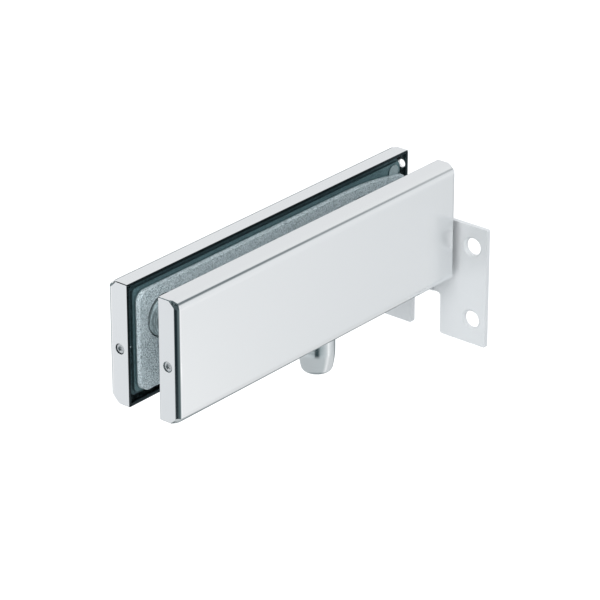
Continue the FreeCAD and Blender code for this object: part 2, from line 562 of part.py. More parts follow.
def end_bracket():
    """Plate with a slot from below, four countersunk holes and a tongue."""
    plate = box(PLATE_INNER_X, PLATE_INNER_X + PLATE_THICKNESS, -PLATE_HALF_WIDTH, PLATE_HALF_WIDTH,
                PLATE_BOTTOM_Z, PLATE_TOP_Z)
    slot = box(PLATE_INNER_X - OVER, PLATE_INNER_X + PLATE_THICKNESS + OVER,
               -PLATE_SLOT_HALF_WIDTH, PLATE_SLOT_HALF_WIDTH, PLATE_BOTTOM_Z - OVER, PLATE_SLOT_TOP_Z)
    slot = rounded(slot, PLATE_SLOT_CORNER_R, V(1, 0, 0), lambda middle: middle.z > PLATE_BOTTOM_Z)
    plate = plate.cut(slot)
    plate = rounded(plate, PLATE_CORNER_R, V(1, 0, 0), lambda middle: middle.z != PLATE_SLOT_TOP_Z)
    land_x = PLATE_INNER_X + PLATE_SINK_DEPTH
    outer_x = PLATE_INNER_X + PLATE_THICKNESS
    for y in (-PLATE_HOLE_Y, PLATE_HOLE_Y):
        for z in PLATE_HOLE_ZS:
            plate = plate.cut(cone(PLATE_SINK_R, PLATE_HOLE_R, (PLATE_INNER_X, y, z), (land_x, y, z)))
            plate = plate.cut(rod(PLATE_HOLE_R, (PLATE_INNER_X, y, z), (outer_x, y, z)))
    half = TONGUE_THICKNESS / 2
    outline = [(PLATE_INNER_X + OVER, PLATE_SLOT_TOP_Z), (PLATE_INNER_X - TONGUE_FOOT, PLATE_SLOT_TOP_Z),
               (PLATE_INNER_X - TONGUE_SLOPE_REACH, TONGUE_BOTTOM_Z), (TONGUE_LEFT_X, TONGUE_BOTTOM_Z),
               (TONGUE_LEFT_X, TONGUE_TOP_Z), (PLATE_INNER_X + OVER, TONGUE_TOP_Z)]
    tongue = plate_xz(outline, -half, half)
    tongue = rounded(tongue, TONGUE_CORNER_R, V(0, 1, 0), lambda middle: middle.x < PLATE_INNER_X - OVER)
    land_r = TONGUE_SCREW_R + SINK_PLAY
    for z in TONGUE_SCREW_ZS:
        mouth = (TONGUE_SCREW_X, -half, z)
        sink_end = (TONGUE_SCREW_X, -half + TONGUE_SCREW_HEAD_DEPTH, z)
        tongue = tongue.cut(cone(TONGUE_SCREW_HEAD_R + SINK_PLAY, land_r, mouth, sink_end))
        tongue = tongue.cut(rod(land_r, mouth, (TONGUE_SCREW_X, half + OVER, z)))
    return plate.fuse(tongue)


def bracket_screw(z):
    """Countersunk screw through the tongue into the rear casting's seat."""
    face_y = -TONGUE_THICKNESS / 2
    head = cone(TONGUE_SCREW_HEAD_R, TONGUE_SCREW_R, (TONGUE_SCREW_X, face_y, z),
                (TONGUE_SCREW_X, face_y + TONGUE_SCREW_HEAD_DEPTH, z))
    shank = rod(TONGUE_SCREW_R, (TONGUE_SCREW_X, face_y + OVER, z), (TONGUE_SCREW_X, TONGUE_SCREW_TIP_Y, z))
    socket = hexagon(TONGUE_SOCKET_AF, (TONGUE_SCREW_X, face_y - OVER, z),
                     (TONGUE_SCREW_X, face_y + TONGUE_SOCKET_DEPTH, z))
    return head.fuse(shank).cut(socket)


def main():
    os.makedirs("parts", exist_ok=True)
    cover = rear_cover()
    save("rear_cover", cover)
    save("front_cover", front_copy(cover))
    save("rear_clamp_body", rear_clamp_body())
    save("front_clamp_body", front_clamp_body())
    for side in ("rear", "front"):
        save("%s_gasket" % side, gasket(side))
        for end in ("left", "right"):
            save("%s_cover_screw_%s" % (side, end), cover_screw(end, side))
    for end, x in zip(("left", "right"), BOLT_XS):
        save("threaded_insert_%s" % end, threaded_insert(x))
        save("clamp_bolt_%s" % end, clamp_bolt(x))
        save("clamp_washer_%s" % end, clamp_washer(x))
    save("pivot_block", pivot_block())
    save("pivot_pin", pivot_pin())
    save("pin_set_screw", pin_set_screw())
    for end, x in (("left", -BLOCK_SCREW_X), ("right", BLOCK_SCREW_X)):
        save("block_screw_%s" % end, block_screw(x))
    save("end_bracket", end_bracket())
    for place, z in zip(("lower", "upper"), TONGUE_SCREW_ZS):
        save("bracket_screw_%s" % place, bracket_screw(z))


main()
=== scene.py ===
# %% [markdown]
# A glass patch fitting. Two clamping halves grip the glass panel above a door, a turned
# pin points down to carry the door's head, and a bracket plate is screwed to the wall.
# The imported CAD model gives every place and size. This lesson dresses it: it models
# the pieces that a viewer sees in finer form, and gives each material its own finish.

# %% Load the frame
import math

import bpy
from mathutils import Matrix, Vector


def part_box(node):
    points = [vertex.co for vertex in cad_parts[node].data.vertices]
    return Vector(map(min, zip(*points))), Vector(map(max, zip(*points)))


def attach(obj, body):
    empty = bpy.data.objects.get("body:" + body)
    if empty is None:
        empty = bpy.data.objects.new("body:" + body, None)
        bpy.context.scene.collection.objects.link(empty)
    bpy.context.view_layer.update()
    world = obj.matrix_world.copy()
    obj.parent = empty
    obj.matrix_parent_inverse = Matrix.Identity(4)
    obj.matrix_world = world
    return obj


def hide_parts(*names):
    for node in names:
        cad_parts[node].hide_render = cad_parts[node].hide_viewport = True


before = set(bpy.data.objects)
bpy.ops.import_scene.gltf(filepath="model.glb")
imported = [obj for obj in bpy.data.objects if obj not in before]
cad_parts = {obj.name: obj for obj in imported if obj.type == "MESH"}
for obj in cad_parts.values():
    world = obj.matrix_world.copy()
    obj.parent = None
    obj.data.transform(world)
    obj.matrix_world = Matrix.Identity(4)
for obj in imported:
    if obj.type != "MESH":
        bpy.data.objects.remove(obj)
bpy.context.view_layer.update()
MM = 0.001

# %% [markdown]
# The camera comes first, because it says which side needs the most care. The picture
# is a product shot taken from about a metre and a half away with a long lens, from the
# left and a little above. A long lens keeps the covers' long edges nearly parallel.

# %% Camera
LOOK_DOWN, HEADING = 25.2077, -50.2962      # degrees
scene = bpy.context.scene
camera_data = bpy.data.cameras.new("product_camera")
camera_data.sensor_width = 36.0
camera_data.lens = 203.22
camera_data.clip_start = 0.01
camera_data.clip_end = 50.0
camera = bpy.data.objects.new("product_camera", camera_data)
camera.location = (-0.957084, -0.785801, 0.593506)
camera.rotation_euler = (math.radians(90 - LOOK_DOWN), 0, math.radians(HEADING))
scene.collection.objects.link(camera)
scene.camera = camera
scene.view_settings.view_transform = "Standard"
print("camera distance to the pin:", round(camera.location.length, 3), "m")

# %% [markdown]
# Polished steel has no look of its own: it shows the room. So the room is designed.
# Seen directly, floor and backdrop are plain white. In a mirror each shows tones by
# compass angle: light greys where the covers' flat sides look, and dark ones where only
# bends and the pin look. That gives the thin dark lines of a studio picture. A ramp over
# the angle is simple and can't show a hard edge in the wrong place.

# %% Helpers: node trees
def fresh_tree(owner):
    """An empty node tree of a material or world."""
    owner.use_nodes = True
    owner.node_tree.nodes.clear()
    return owner.node_tree


def add_node(tree, kind, inputs=(), **settings):
    """A node with its settings and with values or links for its inputs, by name or number."""
    node = tree.nodes.new(kind)
    for name, value in settings.items():
        setattr(node, name, value)
    for socket, value in dict(inputs).items():
        if isinstance(value, bpy.types.NodeSocket):
            tree.links.new(value, node.inputs[socket])
        else:
            node.inputs[socket].default_value = value
    return node


def set_ramp(node, stops):
    """Colour stops of a ramp, as (position, colour)."""
    elements = node.color_ramp.elements
    while len(elements) > 1:
        elements.remove(elements[-1])
    elements[0].position, elements[0].color = stops[0][0], (*stops[0][1], 1)
    for position, colour in stops[1:]:
        elements.new(position).color = (*colour, 1)
    return node.outputs["Color"]


def calculate(tree, operation, first, second=0.0):
    """One sum on one or two values."""
    return add_node(tree, "ShaderNodeMath", {0: first, 1: second}, operation=operation).outputs[0]


def fade(tree, value, start, end):
    """Smooth step from 0 to 1 between two values."""
    step = add_node(tree, "ShaderNodeMapRange", {"Value": value, "From Min": start, "From Max": end},
                    interpolation_type="SMOOTHSTEP")
    return step.outputs[0]


def blend(tree, factor, first, second, how="MIX"):
    """One colour fading into another, or another way to mix the two."""
    mix = add_node(tree, "ShaderNodeMix", {0: factor, 6: first, 7: second}, data_type="RGBA", blend_type=how)
    return mix.outputs[2]


def end_by_ray(tree, output, lit, seen, mirrored):
    """End a tree with a shader for plain light, one for the camera and one for mirrors."""
    path = add_node(tree, "ShaderNodeLightPath").outputs
    direct = add_node(tree, "ShaderNodeMixShader", {0: path["Is Camera Ray"], 1: lit, 2: seen})
    both = add_node(tree, "ShaderNodeMixShader", {0: path["Is Glossy Ray"], 1: direct.outputs[0], 2: mirrored})
    add_node(tree, output, {"Surface": both.outputs[0]})


# %% Room tones by compass angle in degrees, 0 towards the bracket
SKY_TONES = [
    (-180, (0.012, 0.022, 0.026)), (-160, (0.010, 0.018, 0.022)), (-148, (0.07, 0.10, 0.107)),
    (-122, (0.14, 0.185, 0.195)), (-104, (0.26, 0.31, 0.32)), (-92, (0.45, 0.49, 0.50)),
    (-76, (0.78, 0.80, 0.81)), (-64, (0.92, 0.93, 0.94)), (-47, (0.82, 0.84, 0.855)),
    (-31, (0.72, 0.745, 0.765)), (-12, (0.80, 0.815, 0.825)), (38, (0.765, 0.78, 0.795)),
    (110, (0.90, 0.91, 0.92)), (138, (0.80, 0.82, 0.845)), (153, (0.70, 0.73, 0.75)),
    (161, (0.06, 0.08, 0.085)), (168, (0.015, 0.025, 0.03)), (180, (0.012, 0.022, 0.026)),
]
SIDE_TONES = [(-25, (0.60, 0.63, 0.65)), (-13, (0.12, 0.16, 0.17)),
              (80, (0.10, 0.14, 0.15)), (100, (0.50, 0.55, 0.56))]
SIDE_START, SIDE_END = -31, 110
FAR_TONES = sorted([tone for tone in SKY_TONES if not SIDE_START < tone[0] < SIDE_END] + SIDE_TONES)
NEAR_TONES = [
    (-180, (0.62, 0.67, 0.69)), (-158, (0.50, 0.56, 0.58)), (-148, (0.03, 0.05, 0.055)),
    (-132, (0.03, 0.05, 0.055)), (-116, (0.50, 0.56, 0.58)), (-95, (0.60, 0.655, 0.675)),
    (-78, (0.66, 0.70, 0.72)), (-71, (0.80, 0.83, 0.84)), (-62, (1.15, 1.16, 1.16)),
    (-53, (0.88, 0.90, 0.91)), (-38, (0.70, 0.73, 0.75)), (0, (0.60, 0.63, 0.645)),
    (13, (0.06, 0.09, 0.10)), (42, (0.03, 0.055, 0.06)), (56, (0.60, 0.63, 0.64)),
    (110, (0.78, 0.80, 0.81)), (146, (0.66, 0.70, 0.72)), (180, (0.62, 0.67, 0.69)),
]
CENTRE_TONES = [
    (-180, (0.54, 0.575, 0.59)), (-90, (0.56, 0.60, 0.615)), (-64, (0.95, 0.96, 0.97)),
    (-48, (0.74, 0.76, 0.77)), (8, (0.68, 0.70, 0.71)), (17, (0.13, 0.16, 0.17)),
    (44, (0.11, 0.14, 0.15)), (60, (0.54, 0.575, 0.59)), (180, (0.54, 0.575, 0.59)),
]


def room_ramp(tree, vector, tones):
    """Ramp over the compass angle of a vector."""
    angle = add_node(tree, "ShaderNodeTexGradient", {"Vector": vector}, gradient_type="RADIAL")
    ramp = add_node(tree, "ShaderNodeValToRGB", {"Fac": angle.outputs["Fac"]})
    return set_ramp(ramp, [(degrees / 360 + 0.5, tone) for degrees, tone in tones])


print("tones of the sky:", len(SKY_TONES))

# %% [markdown]
# The floor lies a hand's breadth below the fitting, because the fitting hangs on its
# bracket and touches no ground. It is a real surface that takes the shadow: what the
# camera sees is part glow and part lit white paint. In a mirror it has three rings of
# tones, because the two ends of a cover mirror places at different distances, round a
# dark patch below the fitting. That patch is a painted shadow, since the mirrored floor
# only glows. The rings are measured from the origin, which is above the floor.

# %% Floor
FLOOR_Z = -0.2
CENTRE_TO_NEAR = (0.36, 0.41)
NEAR_TO_FAR = (0.425, 0.50)
SHADOW_PATCH_EDGE = (0.235, 0.205)
bpy.ops.mesh.primitive_plane_add(size=40, location=(0, 0, FLOOR_Z))
floor = bpy.context.object
floor.name = "studio_floor"
bpy.ops.object.transform_apply()

floor_material = bpy.data.materials.new("studio_floor")
tree = fresh_tree(floor_material)
place = add_node(tree, "ShaderNodeTexCoord").outputs["Object"]
paint = add_node(tree, "ShaderNodeBsdfDiffuse", {"Color": (0.55, 0.565, 0.57, 1)})
glow = add_node(tree, "ShaderNodeEmission", {"Strength": 0.62})
seen_paint = add_node(tree, "ShaderNodeBsdfDiffuse", {"Color": (0.5, 0.5, 0.5, 1)})
seen = add_node(tree, "ShaderNodeAddShader", {0: glow.outputs[0], 1: seen_paint.outputs[0]})
distance = add_node(tree, "ShaderNodeVectorMath", {0: place}, operation="LENGTH").outputs["Value"]
centre, near, far = [room_ramp(tree, place, tones) for tones in (CENTRE_TONES, NEAR_TONES, FAR_TONES)]
inner = blend(tree, fade(tree, distance, *CENTRE_TO_NEAR), centre, near)
outer = blend(tree, fade(tree, distance, *NEAR_TO_FAR), inner, far)
# Painted shadow: the mirrored floor turns grey below the fitting.
shown = blend(tree, fade(tree, distance, *SHADOW_PATCH_EDGE), outer, (0.34, 0.38, 0.39, 1))
mirrored = add_node(tree, "ShaderNodeEmission", {"Color": shown})
end_by_ray(tree, "ShaderNodeOutputMaterial", paint.outputs[0], seen.outputs[0], mirrored.outputs[0])
floor.data.materials.append(floor_material)
print("floor at", FLOOR_Z, "m")

# %% [markdown]
# The sky of the room works the same way, with one ring of tones. One dark card stands
# high at the front right: the covers' top bends catch it as a thin grey line.

# %% Room light
CARD_AZIMUTH = math.radians(-38)
CARD_HEIGHT = math.radians(43)
CARD_EDGE, CARD_CORE = math.radians(16), math.radians(5)
CARD_DIRECTION = Vector((math.cos(CARD_HEIGHT) * math.cos(CARD_AZIMUTH),
                         math.cos(CARD_HEIGHT) * math.sin(CARD_AZIMUTH),
                         math.sin(CARD_HEIGHT)))
world = bpy.data.worlds.new("studio_room")
scene.world = world
tree = fresh_tree(world)
direction = add_node(tree, "ShaderNodeTexCoord").outputs["Generated"]
card_cosine = add_node(tree, "ShaderNodeVectorMath", {0: direction, 1: CARD_DIRECTION}, operation="DOT_PRODUCT")
card = fade(tree, card_cosine.outputs["Value"], math.cos(CARD_EDGE), math.cos(CARD_CORE))
room = blend(tree, card, room_ramp(tree, direction, SKY_TONES), (0.07, 0.10, 0.11, 1))
lit, seen, mirrored = [
    add_node(tree, "ShaderNodeBackground", {"Color": colour, "Strength": strength}).outputs[0]
    for colour, strength in (((0.93, 0.97, 1.0, 1), 0.98), ((1, 1, 1, 1), 1.0), (room, 1.0))]
end_by_ray(tree, "ShaderNodeOutputWorld", lit, seen, mirrored)


# %% Soft lamps
def soft_lamp(name, place, size, power):
    """A square area lamp that faces the fitting."""
    data = bpy.data.lights.new(name, "AREA")
    data.size = size
    data.energy = power
    lamp = bpy.data.objects.new(name, data)
    lamp.location = place
    lamp.rotation_euler = (-Vector(place)).to_track_quat("-Z", "Y").to_euler()
    lamp.visible_glossy = False
    scene.collection.objects.link(lamp)
    print(name, power, "W")


soft_lamp("key_lamp", (-0.55, -0.45, 0.85), 0.6, 6.0)
soft_lamp("rim_lamp", (-0.82, -0.24, 0.16), 0.4, 3.0)

# %% [markdown]
# Finishes. Three effects return on several materials, so each is a node group that
# gives out a mask or a normal: fine grain, hair lines from polishing or turning, and
# faint smudges from handling.

# %% Effect groups
def effect_group(name, inputs, outputs):
    """A node group with named sockets, as (name, kind, value)."""
    group = bpy.data.node_groups.new(name, "ShaderNodeTree")
    for label, kind, value in inputs:
        socket = group.interface.new_socket(name=label, in_out="INPUT", socket_type="NodeSocket" + kind)
        if value is not None:
            socket.default_value = value
    for label, kind in outputs:
        group.interface.new_socket(name=label, in_out="OUTPUT", socket_type="NodeSocket" + kind)
    enter = group.nodes.new("NodeGroupInput")
    leave = group.nodes.new("NodeGroupOutput")
    return group, enter.outputs, leave.inputs


def end_with_bump(group, height, depth, result, mask):
    """End a group with a mask and with the bump that it makes, its depth in millimetres."""
    metres = calculate(group, "MULTIPLY", depth, MM)
    bump = add_node(group, "ShaderNodeBump", {"Height": height, "Distance": metres})
    group.links.new(bump.outputs["Normal"], result["Normal"])
    group.links.new(height, result[mask])
    return group


def make_grain():
    """Cast or sanded grain: a normal and a mask of its hollows."""
    group, given, result = effect_group(
        "fine_grain",
        [("Vector", "Vector", None), ("Size", "Float", 0.5), ("Depth", "Float", 0.05)],
        [("Normal", "Vector"), ("Hollows", "Float")])
    spot = {"Vector": given["Vector"], "Scale": calculate(group, "DIVIDE", 1.0 / MM, given["Size"])}
    fine = add_node(group, "ShaderNodeTexNoise", {**spot, "Detail": 3.0})
    cells = add_node(group, "ShaderNodeTexVoronoi", spot)
    hollows = calculate(group, "MULTIPLY", fine.outputs["Fac"], cells.outputs["Distance"])
    return end_with_bump(group, hollows, given["Depth"], result, "Hollows")


def make_lines():
    """Hair lines that run along one axis: a normal and a mask."""
    group, given, result = effect_group(
        "hair_lines",
        [("Vector", "Vector", None), ("Stretch", "Vector", (1, 1, 1)), ("Depth", "Float", 0.01)],
        [("Normal", "Vector"), ("Lines", "Float")])
    drawn = add_node(group, "ShaderNodeVectorMath", {0: given["Vector"], 1: given["Stretch"]},
                     operation="MULTIPLY").outputs[0]
    lines = add_node(group, "ShaderNodeTexNoise", {"Vector": drawn, "Scale": 1.0, "Detail": 4.0})
    return end_with_bump(group, lines.outputs["Fac"], given["Depth"], result, "Lines")


def make_smudges():
    """Soft patches a few centimetres wide, as a value between two limits."""
    group, given, result = effect_group(
        "handling_smudges",
        [("Vector", "Vector", None), ("Size", "Float", 20.0), ("Low", "Float", 0.1), ("High", "Float", 0.2)],
        [("Value", "Float")])
    scale = calculate(group, "DIVIDE", 1.0 / MM, given["Size"])
    patches = add_node(group, "ShaderNodeTexNoise", {"Vector": given["Vector"], "Scale": scale, "Detail": 2.0})
    value = add_node(group, "ShaderNodeMapRange", {
        "Value": patches.outputs["Fac"], "From Min": 0.35, "From Max": 0.65,
        "To Min": given["Low"], "To Max": given["High"]})
    group.links.new(value.outputs[0], result["Value"])
    return group


GRAIN = make_grain()
LINES = make_lines()
SMUDGES = make_smudges()
print("effect groups:", len(bpy.data.node_groups))


# %% Helpers: start and end a material
def start_material(name, **sockets):
    """A material with a Principled shader, its plain values and the object coordinates."""
    material = bpy.data.materials.new(name)
    tree = fresh_tree(material)
    place = add_node(tree, "ShaderNodeTexCoord").outputs["Object"]
    shader = add_node(tree, "ShaderNodeBsdfPrincipled", sockets)
    add_node(tree, "ShaderNodeOutputMaterial", {"Surface": shader.outputs[0]})
    return material, tree, place, shader


def use_group(tree, group, place, **values):
    """One effect group at a place, with its values."""
    return add_node(tree, "ShaderNodeGroup", {"Vector": place, **values}, node_tree=group).outputs


def connect(tree, shader, colour, rough, normal):
    """Link a colour, a roughness and a normal to the shader."""
    for name, output in (("Base Color", colour), ("Roughness", rough), ("Normal", normal)):
        tree.links.new(output, shader.inputs[name])


def depth_from_middle(tree, place):
    """Distance from the plane between the two halves, in millimetres."""
    split = add_node(tree, "ShaderNodeSeparateXYZ", {0: place})
    return calculate(tree, "MULTIPLY", calculate(tree, "ABSOLUTE", split.outputs["Y"]), 1.0 / MM)


# %% [markdown]
# The covers are stainless sheet with a buffed finish. It is nearly a mirror, with very
# faint lines along its length. The large face is hazier, so that it shows the room
# softly. The flanges' edges along the gap get painted shade: they are dark and rough.

# %% Buffed cover steel
# Painted shade: the flanges' edges along the gap are painted near-black, standing in for the shade inside the
# gap.
GAP_SHADE_FADE = (8.14, 8.06)      # fades in millimetres from the middle plane
FLAT_FACE = (17.86, 17.98)
FACE_HAZE, GAP_SHADE_ROUGHNESS = 0.26, 0.5
cover_steel, tree, place, shader = start_material("cover_steel", Metallic=1.0)
smudge = use_group(tree, SMUDGES, place, Size=28.0, Low=0.10, High=0.15)
lines = use_group(tree, LINES, place, Stretch=(30.0, 4000.0, 4000.0), Depth=0.0012)
buffed = blend(tree, lines["Lines"], (0.93, 0.94, 0.945, 1), (0.955, 0.96, 0.965, 1))
depth = depth_from_middle(tree, place)
gap_shade = fade(tree, depth, *GAP_SHADE_FADE)
hazy = add_node(tree, "ShaderNodeMix", {0: fade(tree, depth, *FLAT_FACE), 2: smudge["Value"], 3: FACE_HAZE})
rough = add_node(tree, "ShaderNodeMix", {0: gap_shade, 2: hazy.outputs[0], 3: GAP_SHADE_ROUGHNESS})
connect(tree, shader, blend(tree, gap_shade, buffed, (0.03, 0.045, 0.05, 1)), rough.outputs[0], lines["Normal"])

# %% [markdown]
# The castings are aluminium as it leaves the mould: a dull, slightly pebbled skin with
# darker hollows. Light and shade are painted by depth: lighter on the pad and bosses,
# dark and bluish as painted shade in the step behind the pad. The bosses carry the rings
# of a cutter, with light rings as painted highlight streaks. The gaskets are pressed
# fibre, a grey felt of light and dark specks.

# %% Cast aluminium and gasket fibre
# Painted light and shade by depth: lighter where the casting stands out towards the glass, darker and bluish in
# the step behind the pad.
CAST_DEPTH_SHADE = [              # tint by millimetres from the middle plane
    (0.0, (1.25, 1.3, 1.3)), (8.9, (1.25, 1.3, 1.3)), (9.3, (0.42, 0.60, 0.63)), (9.7, (0.42, 0.60, 0.63)),
    (10.1, (0.22, 0.32, 0.34)), (11.2, (0.22, 0.32, 0.34)), (12.0, (0.9, 1.0, 1.0)),
]
SHADE_DEPTH_END = 20.0
BOSS_FADE, RING_FADE, SPECK_FADE = (9.0, 8.7), (0.40, 0.60), (0.03, 0.55)
cast_skin, tree, place, shader = start_material("cast_aluminium", Metallic=0.85)
grain = use_group(tree, GRAIN, place, Size=0.9, Depth=0.35)
patches = use_group(tree, SMUDGES, place, Size=9.0, Low=0.42, High=0.62)
skin = blend(tree, grain["Hollows"], (0.50, 0.545, 0.555, 1), (0.20, 0.235, 0.245, 1))
depth = depth_from_middle(tree, place)
layer = add_node(tree, "ShaderNodeMapRange", {"Value": depth, "From Max": SHADE_DEPTH_END})
shade_ramp = add_node(tree, "ShaderNodeValToRGB", {"Fac": layer.outputs[0]})
depth_shade = set_ramp(shade_ramp, [(millimetres / SHADE_DEPTH_END, tone) for millimetres, tone in CAST_DEPTH_SHADE])
rings = use_group(tree, LINES, place, Stretch=(120.0, 1100.0, 120.0), Depth=0.0)
# Cutter rings on the bosses, partly painted highlight: the light rings are brighter than the skin, as streaks
# of sheen.
turned = blend(tree, fade(tree, rings["Lines"], *RING_FADE), (0.62, 0.64, 0.65, 1), (1.4, 1.4, 1.4, 1))
boss_rings_and_highlight = blend(tree, fade(tree, depth, *BOSS_FADE), (1, 1, 1, 1), turned)
skin = blend(tree, 1.0, blend(tree, 1.0, skin, depth_shade, "MULTIPLY"), boss_rings_and_highlight, "MULTIPLY")
connect(tree, shader, skin, patches["Value"], grain["Normal"])

fibre, tree, place, shader = start_material("fibre_gasket")
specks = use_group(tree, GRAIN, place, Size=0.6, Depth=0.5)
blotches = use_group(tree, SMUDGES, place, Size=3.5, Low=0.0, High=1.0)
fine = blend(tree, fade(tree, specks["Hollows"], *SPECK_FADE), (0.61, 0.69, 0.715, 1), (0.25, 0.30, 0.32, 1))
broad = blend(tree, blotches["Value"], (0.88, 0.90, 0.91, 1), (1, 1, 1, 1))
dry = add_node(tree, "ShaderNodeMapRange", {"Value": specks["Hollows"], "To Min": 0.72, "To Max": 0.95})
connect(tree, shader, blend(tree, 1.0, fine, broad, "MULTIPLY"), dry.outputs[0], specks["Normal"])
print("finishes:", cast_skin.name, fibre.name)

# %% [markdown]
# The bracket is pressed plate under a thin pale satin coat. The pin and block are
# machined steel: the pin keeps fine turning lines round its axis, the block the
# straight lines of a milling cutter. The screws are plain drawn steel.

# %% Satin plate, turned pin, milled block and screw steel
satin_plate, tree, place, shader = start_material("bracket_steel", Metallic=0.35)
grain = use_group(tree, GRAIN, place, Size=0.6, Depth=0.04)
patches = use_group(tree, SMUDGES, place, Size=22.0, Low=0.36, High=0.46)
tone = blend(tree, patches["Value"], (0.755, 0.765, 0.775, 1), (0.68, 0.69, 0.70, 1))
connect(tree, shader, tone, patches["Value"], grain["Normal"])


def lined_steel(name, light, dark, low, high, stretch, depth):
    """Bare steel with lines from a tool along one axis."""
    material, tree, place, shader = start_material(name, Metallic=1.0)
    lines = use_group(tree, LINES, place, Stretch=stretch, Depth=depth)
    rough = use_group(tree, SMUDGES, place, Size=6.0, Low=low, High=high)
    connect(tree, shader, blend(tree, lines["Lines"], (*light, 1), (*dark, 1)), rough["Value"], lines["Normal"])
    return material


turned_steel = lined_steel("pin_steel", (0.86, 0.88, 0.89), (0.76, 0.78, 0.79), 0.08, 0.12,
                           (40.0, 40.0, 7000.0), 0.006)
milled_steel = lined_steel("block_steel", (0.52, 0.54, 0.55), (0.36, 0.38, 0.39), 0.32, 0.42,
                           (80.0, 3000.0, 3000.0), 0.01)
drawn_steel = lined_steel("screw_steel", (0.78, 0.80, 0.81), (0.62, 0.64, 0.65), 0.25, 0.36,
                          (400.0, 5000.0, 5000.0), 0.004)

# %% [markdown]
# Modelling. Each new piece starts as a primitive at its place, is shaped in edit mode
# and is finished with modifiers. A few helpers do what a hand does with the mouse:
# pick faces or edges by where they are, and cut one shape out of another.

# %% Helpers: select and start
NEAR = 1e-6                 # closer than this, two places are the same
PAST = 1.0 * MM             # cutting tools run this far past a face


def only(piece):
    """Make one object the whole selection."""
    bpy.ops.object.select_all(action="DESELECT")
    piece.select_set(True)
    bpy.context.view_layer.objects.active = piece


def start_block(name, corner, opposite):
    """A cube stretched between two corners, with its place in its mesh."""
    low, high = Vector(map(min, corner, opposite)), Vector(map(max, corner, opposite))
    bpy.ops.mesh.primitive_cube_add(size=1, location=(low + high) / 2)
    block = bpy.context.object
    block.name = name
    block.scale = high - low
    bpy.ops.object.transform_apply()
    return block


def start_rod(name, radius, start, end, sides=48, end_radius=None):
    """A cylinder, cone or prism between two points, with its place in its mesh."""
    start, end = Vector(start), Vector(end)
    bpy.ops.mesh.primitive_cone_add(
        vertices=sides, radius1=radius, radius2=radius if end_radius is None else end_radius,
        depth=(end - start).length, location=(start + end) / 2,
        rotation=(end - start).to_track_quat("Z", "Y").to_euler())
    rod = bpy.context.object
    rod.name = name
    bpy.ops.object.transform_apply()
    return rod


def start_point(name, radius, height):
    """One vertex in edit mode, ready to be drawn out into a line."""
    bpy.ops.mesh.primitive_plane_add(size=MM)
    point = bpy.context.object
    point.name = name
    bpy.ops.object.mode_set(mode="EDIT")
    bpy.ops.mesh.select_mode(type="VERT")
    bpy.ops.mesh.select_all(action="SELECT")
    bpy.ops.mesh.merge(type="CENTER")
    bpy.ops.transform.translate(value=(radius, 0, height))
    return point


def node_middle(name):
    """The middle of a CAD node's box."""
    low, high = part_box(name)
    return (low + high) / 2


# %% Helpers: pick and edit
def pick(piece, kind, test):
    """Open edit mode with the faces or edges whose middle and direction pass a test."""
    only(piece)
    bpy.ops.object.mode_set(mode="EDIT")
    bpy.ops.mesh.select_mode(type=kind)
    bpy.ops.mesh.select_all(action="DESELECT")
    bpy.ops.object.mode_set(mode="OBJECT")
    mesh = piece.data
    if kind == "FACE":
        for face in mesh.polygons:
            face.select = test(face.center, face.normal)
    else:
        for edge in mesh.edges:
            a, b = (mesh.vertices[i].co for i in edge.vertices)
            edge.select = test((a + b) / 2, (b - a).normalized())
    bpy.ops.object.mode_set(mode="EDIT")


def edit(piece, kind, test, operator, **settings):
    """Run one operator on the picked faces or edges, and leave edit mode."""
    pick(piece, kind, test)
    operator(**settings)
    bpy.ops.object.mode_set(mode="OBJECT")


def everything(middle, way):
    """A test that every face passes."""
    return True


def along(axis, more=lambda middle: True):
    """A test for edges that run along an axis and whose middle passes one more test."""
    return lambda middle, way: abs(getattr(way, axis)) > 0.9 and more(middle)


def round_edges(piece, radius, segments, test):
    """Round the edges that pass a test."""
    edit(piece, "EDGE", test, bpy.ops.mesh.bevel, offset=radius, segments=segments, affect="EDGES")


# %% Helpers: modifiers and finish
def apply_modifier(piece, kind, **settings):
    """Add a modifier, set it and apply it."""
    only(piece)
    modifier = piece.modifiers.new(kind.lower(), kind)
    for name, value in settings.items():
        setattr(modifier, name, value)
    bpy.ops.object.modifier_apply(modifier=modifier.name)


def combine(piece, tool, how="DIFFERENCE"):
    """Cut a tool out of a piece, join it on or keep what both share, and remove the tool."""
    apply_modifier(piece, "BOOLEAN", object=tool, operation=how, solver="MANIFOLD")
    bpy.data.objects.remove(tool)
    return piece


def bore(piece, axis, middle, start, end, radius, sides=48, end_radius=None):
    """Cut a round, hexagonal or conical hole along an axis, between two places on it."""
    first, last = Vector(middle), Vector(middle)
    setattr(first, axis, start)
    setattr(last, axis, end)
    combine(piece, start_rod("bore", radius, first, last, sides, end_radius))


def finish_piece(piece, material, body, nodes, edge=0.0, angle=35):
    """Soft edges, smooth shading, finish, body and the CAD nodes that the piece stands for."""
    if edge:
        apply_modifier(piece, "BEVEL", width=edge, segments=2, limit_method="ANGLE",
                       angle_limit=math.radians(angle))
    only(piece)
    bpy.ops.object.shade_smooth_by_angle(angle=math.radians(angle))
    apply_modifier(piece, "WEIGHTED_NORMAL", keep_sharp=True)
    piece.data.materials.clear()
    piece.data.materials.append(material)
    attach(piece, body)
    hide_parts(*nodes)
    print(piece.name, "faces:", len(piece.data.polygons))


def mirror_copy(piece, name):
    """A copy on the front half, mirrored in the middle plane, with its faces outwards."""
    copy = bpy.data.objects.new(name, piece.data.copy())
    scene.collection.objects.link(copy)
    only(copy)
    copy.scale = (1, -1, 1)
    bpy.ops.object.transform_apply()
    volume = sum(face.center.dot(face.normal) * face.area for face in copy.data.polygons)
    if volume < 0:
        copy.data.flip_normals()
    return copy


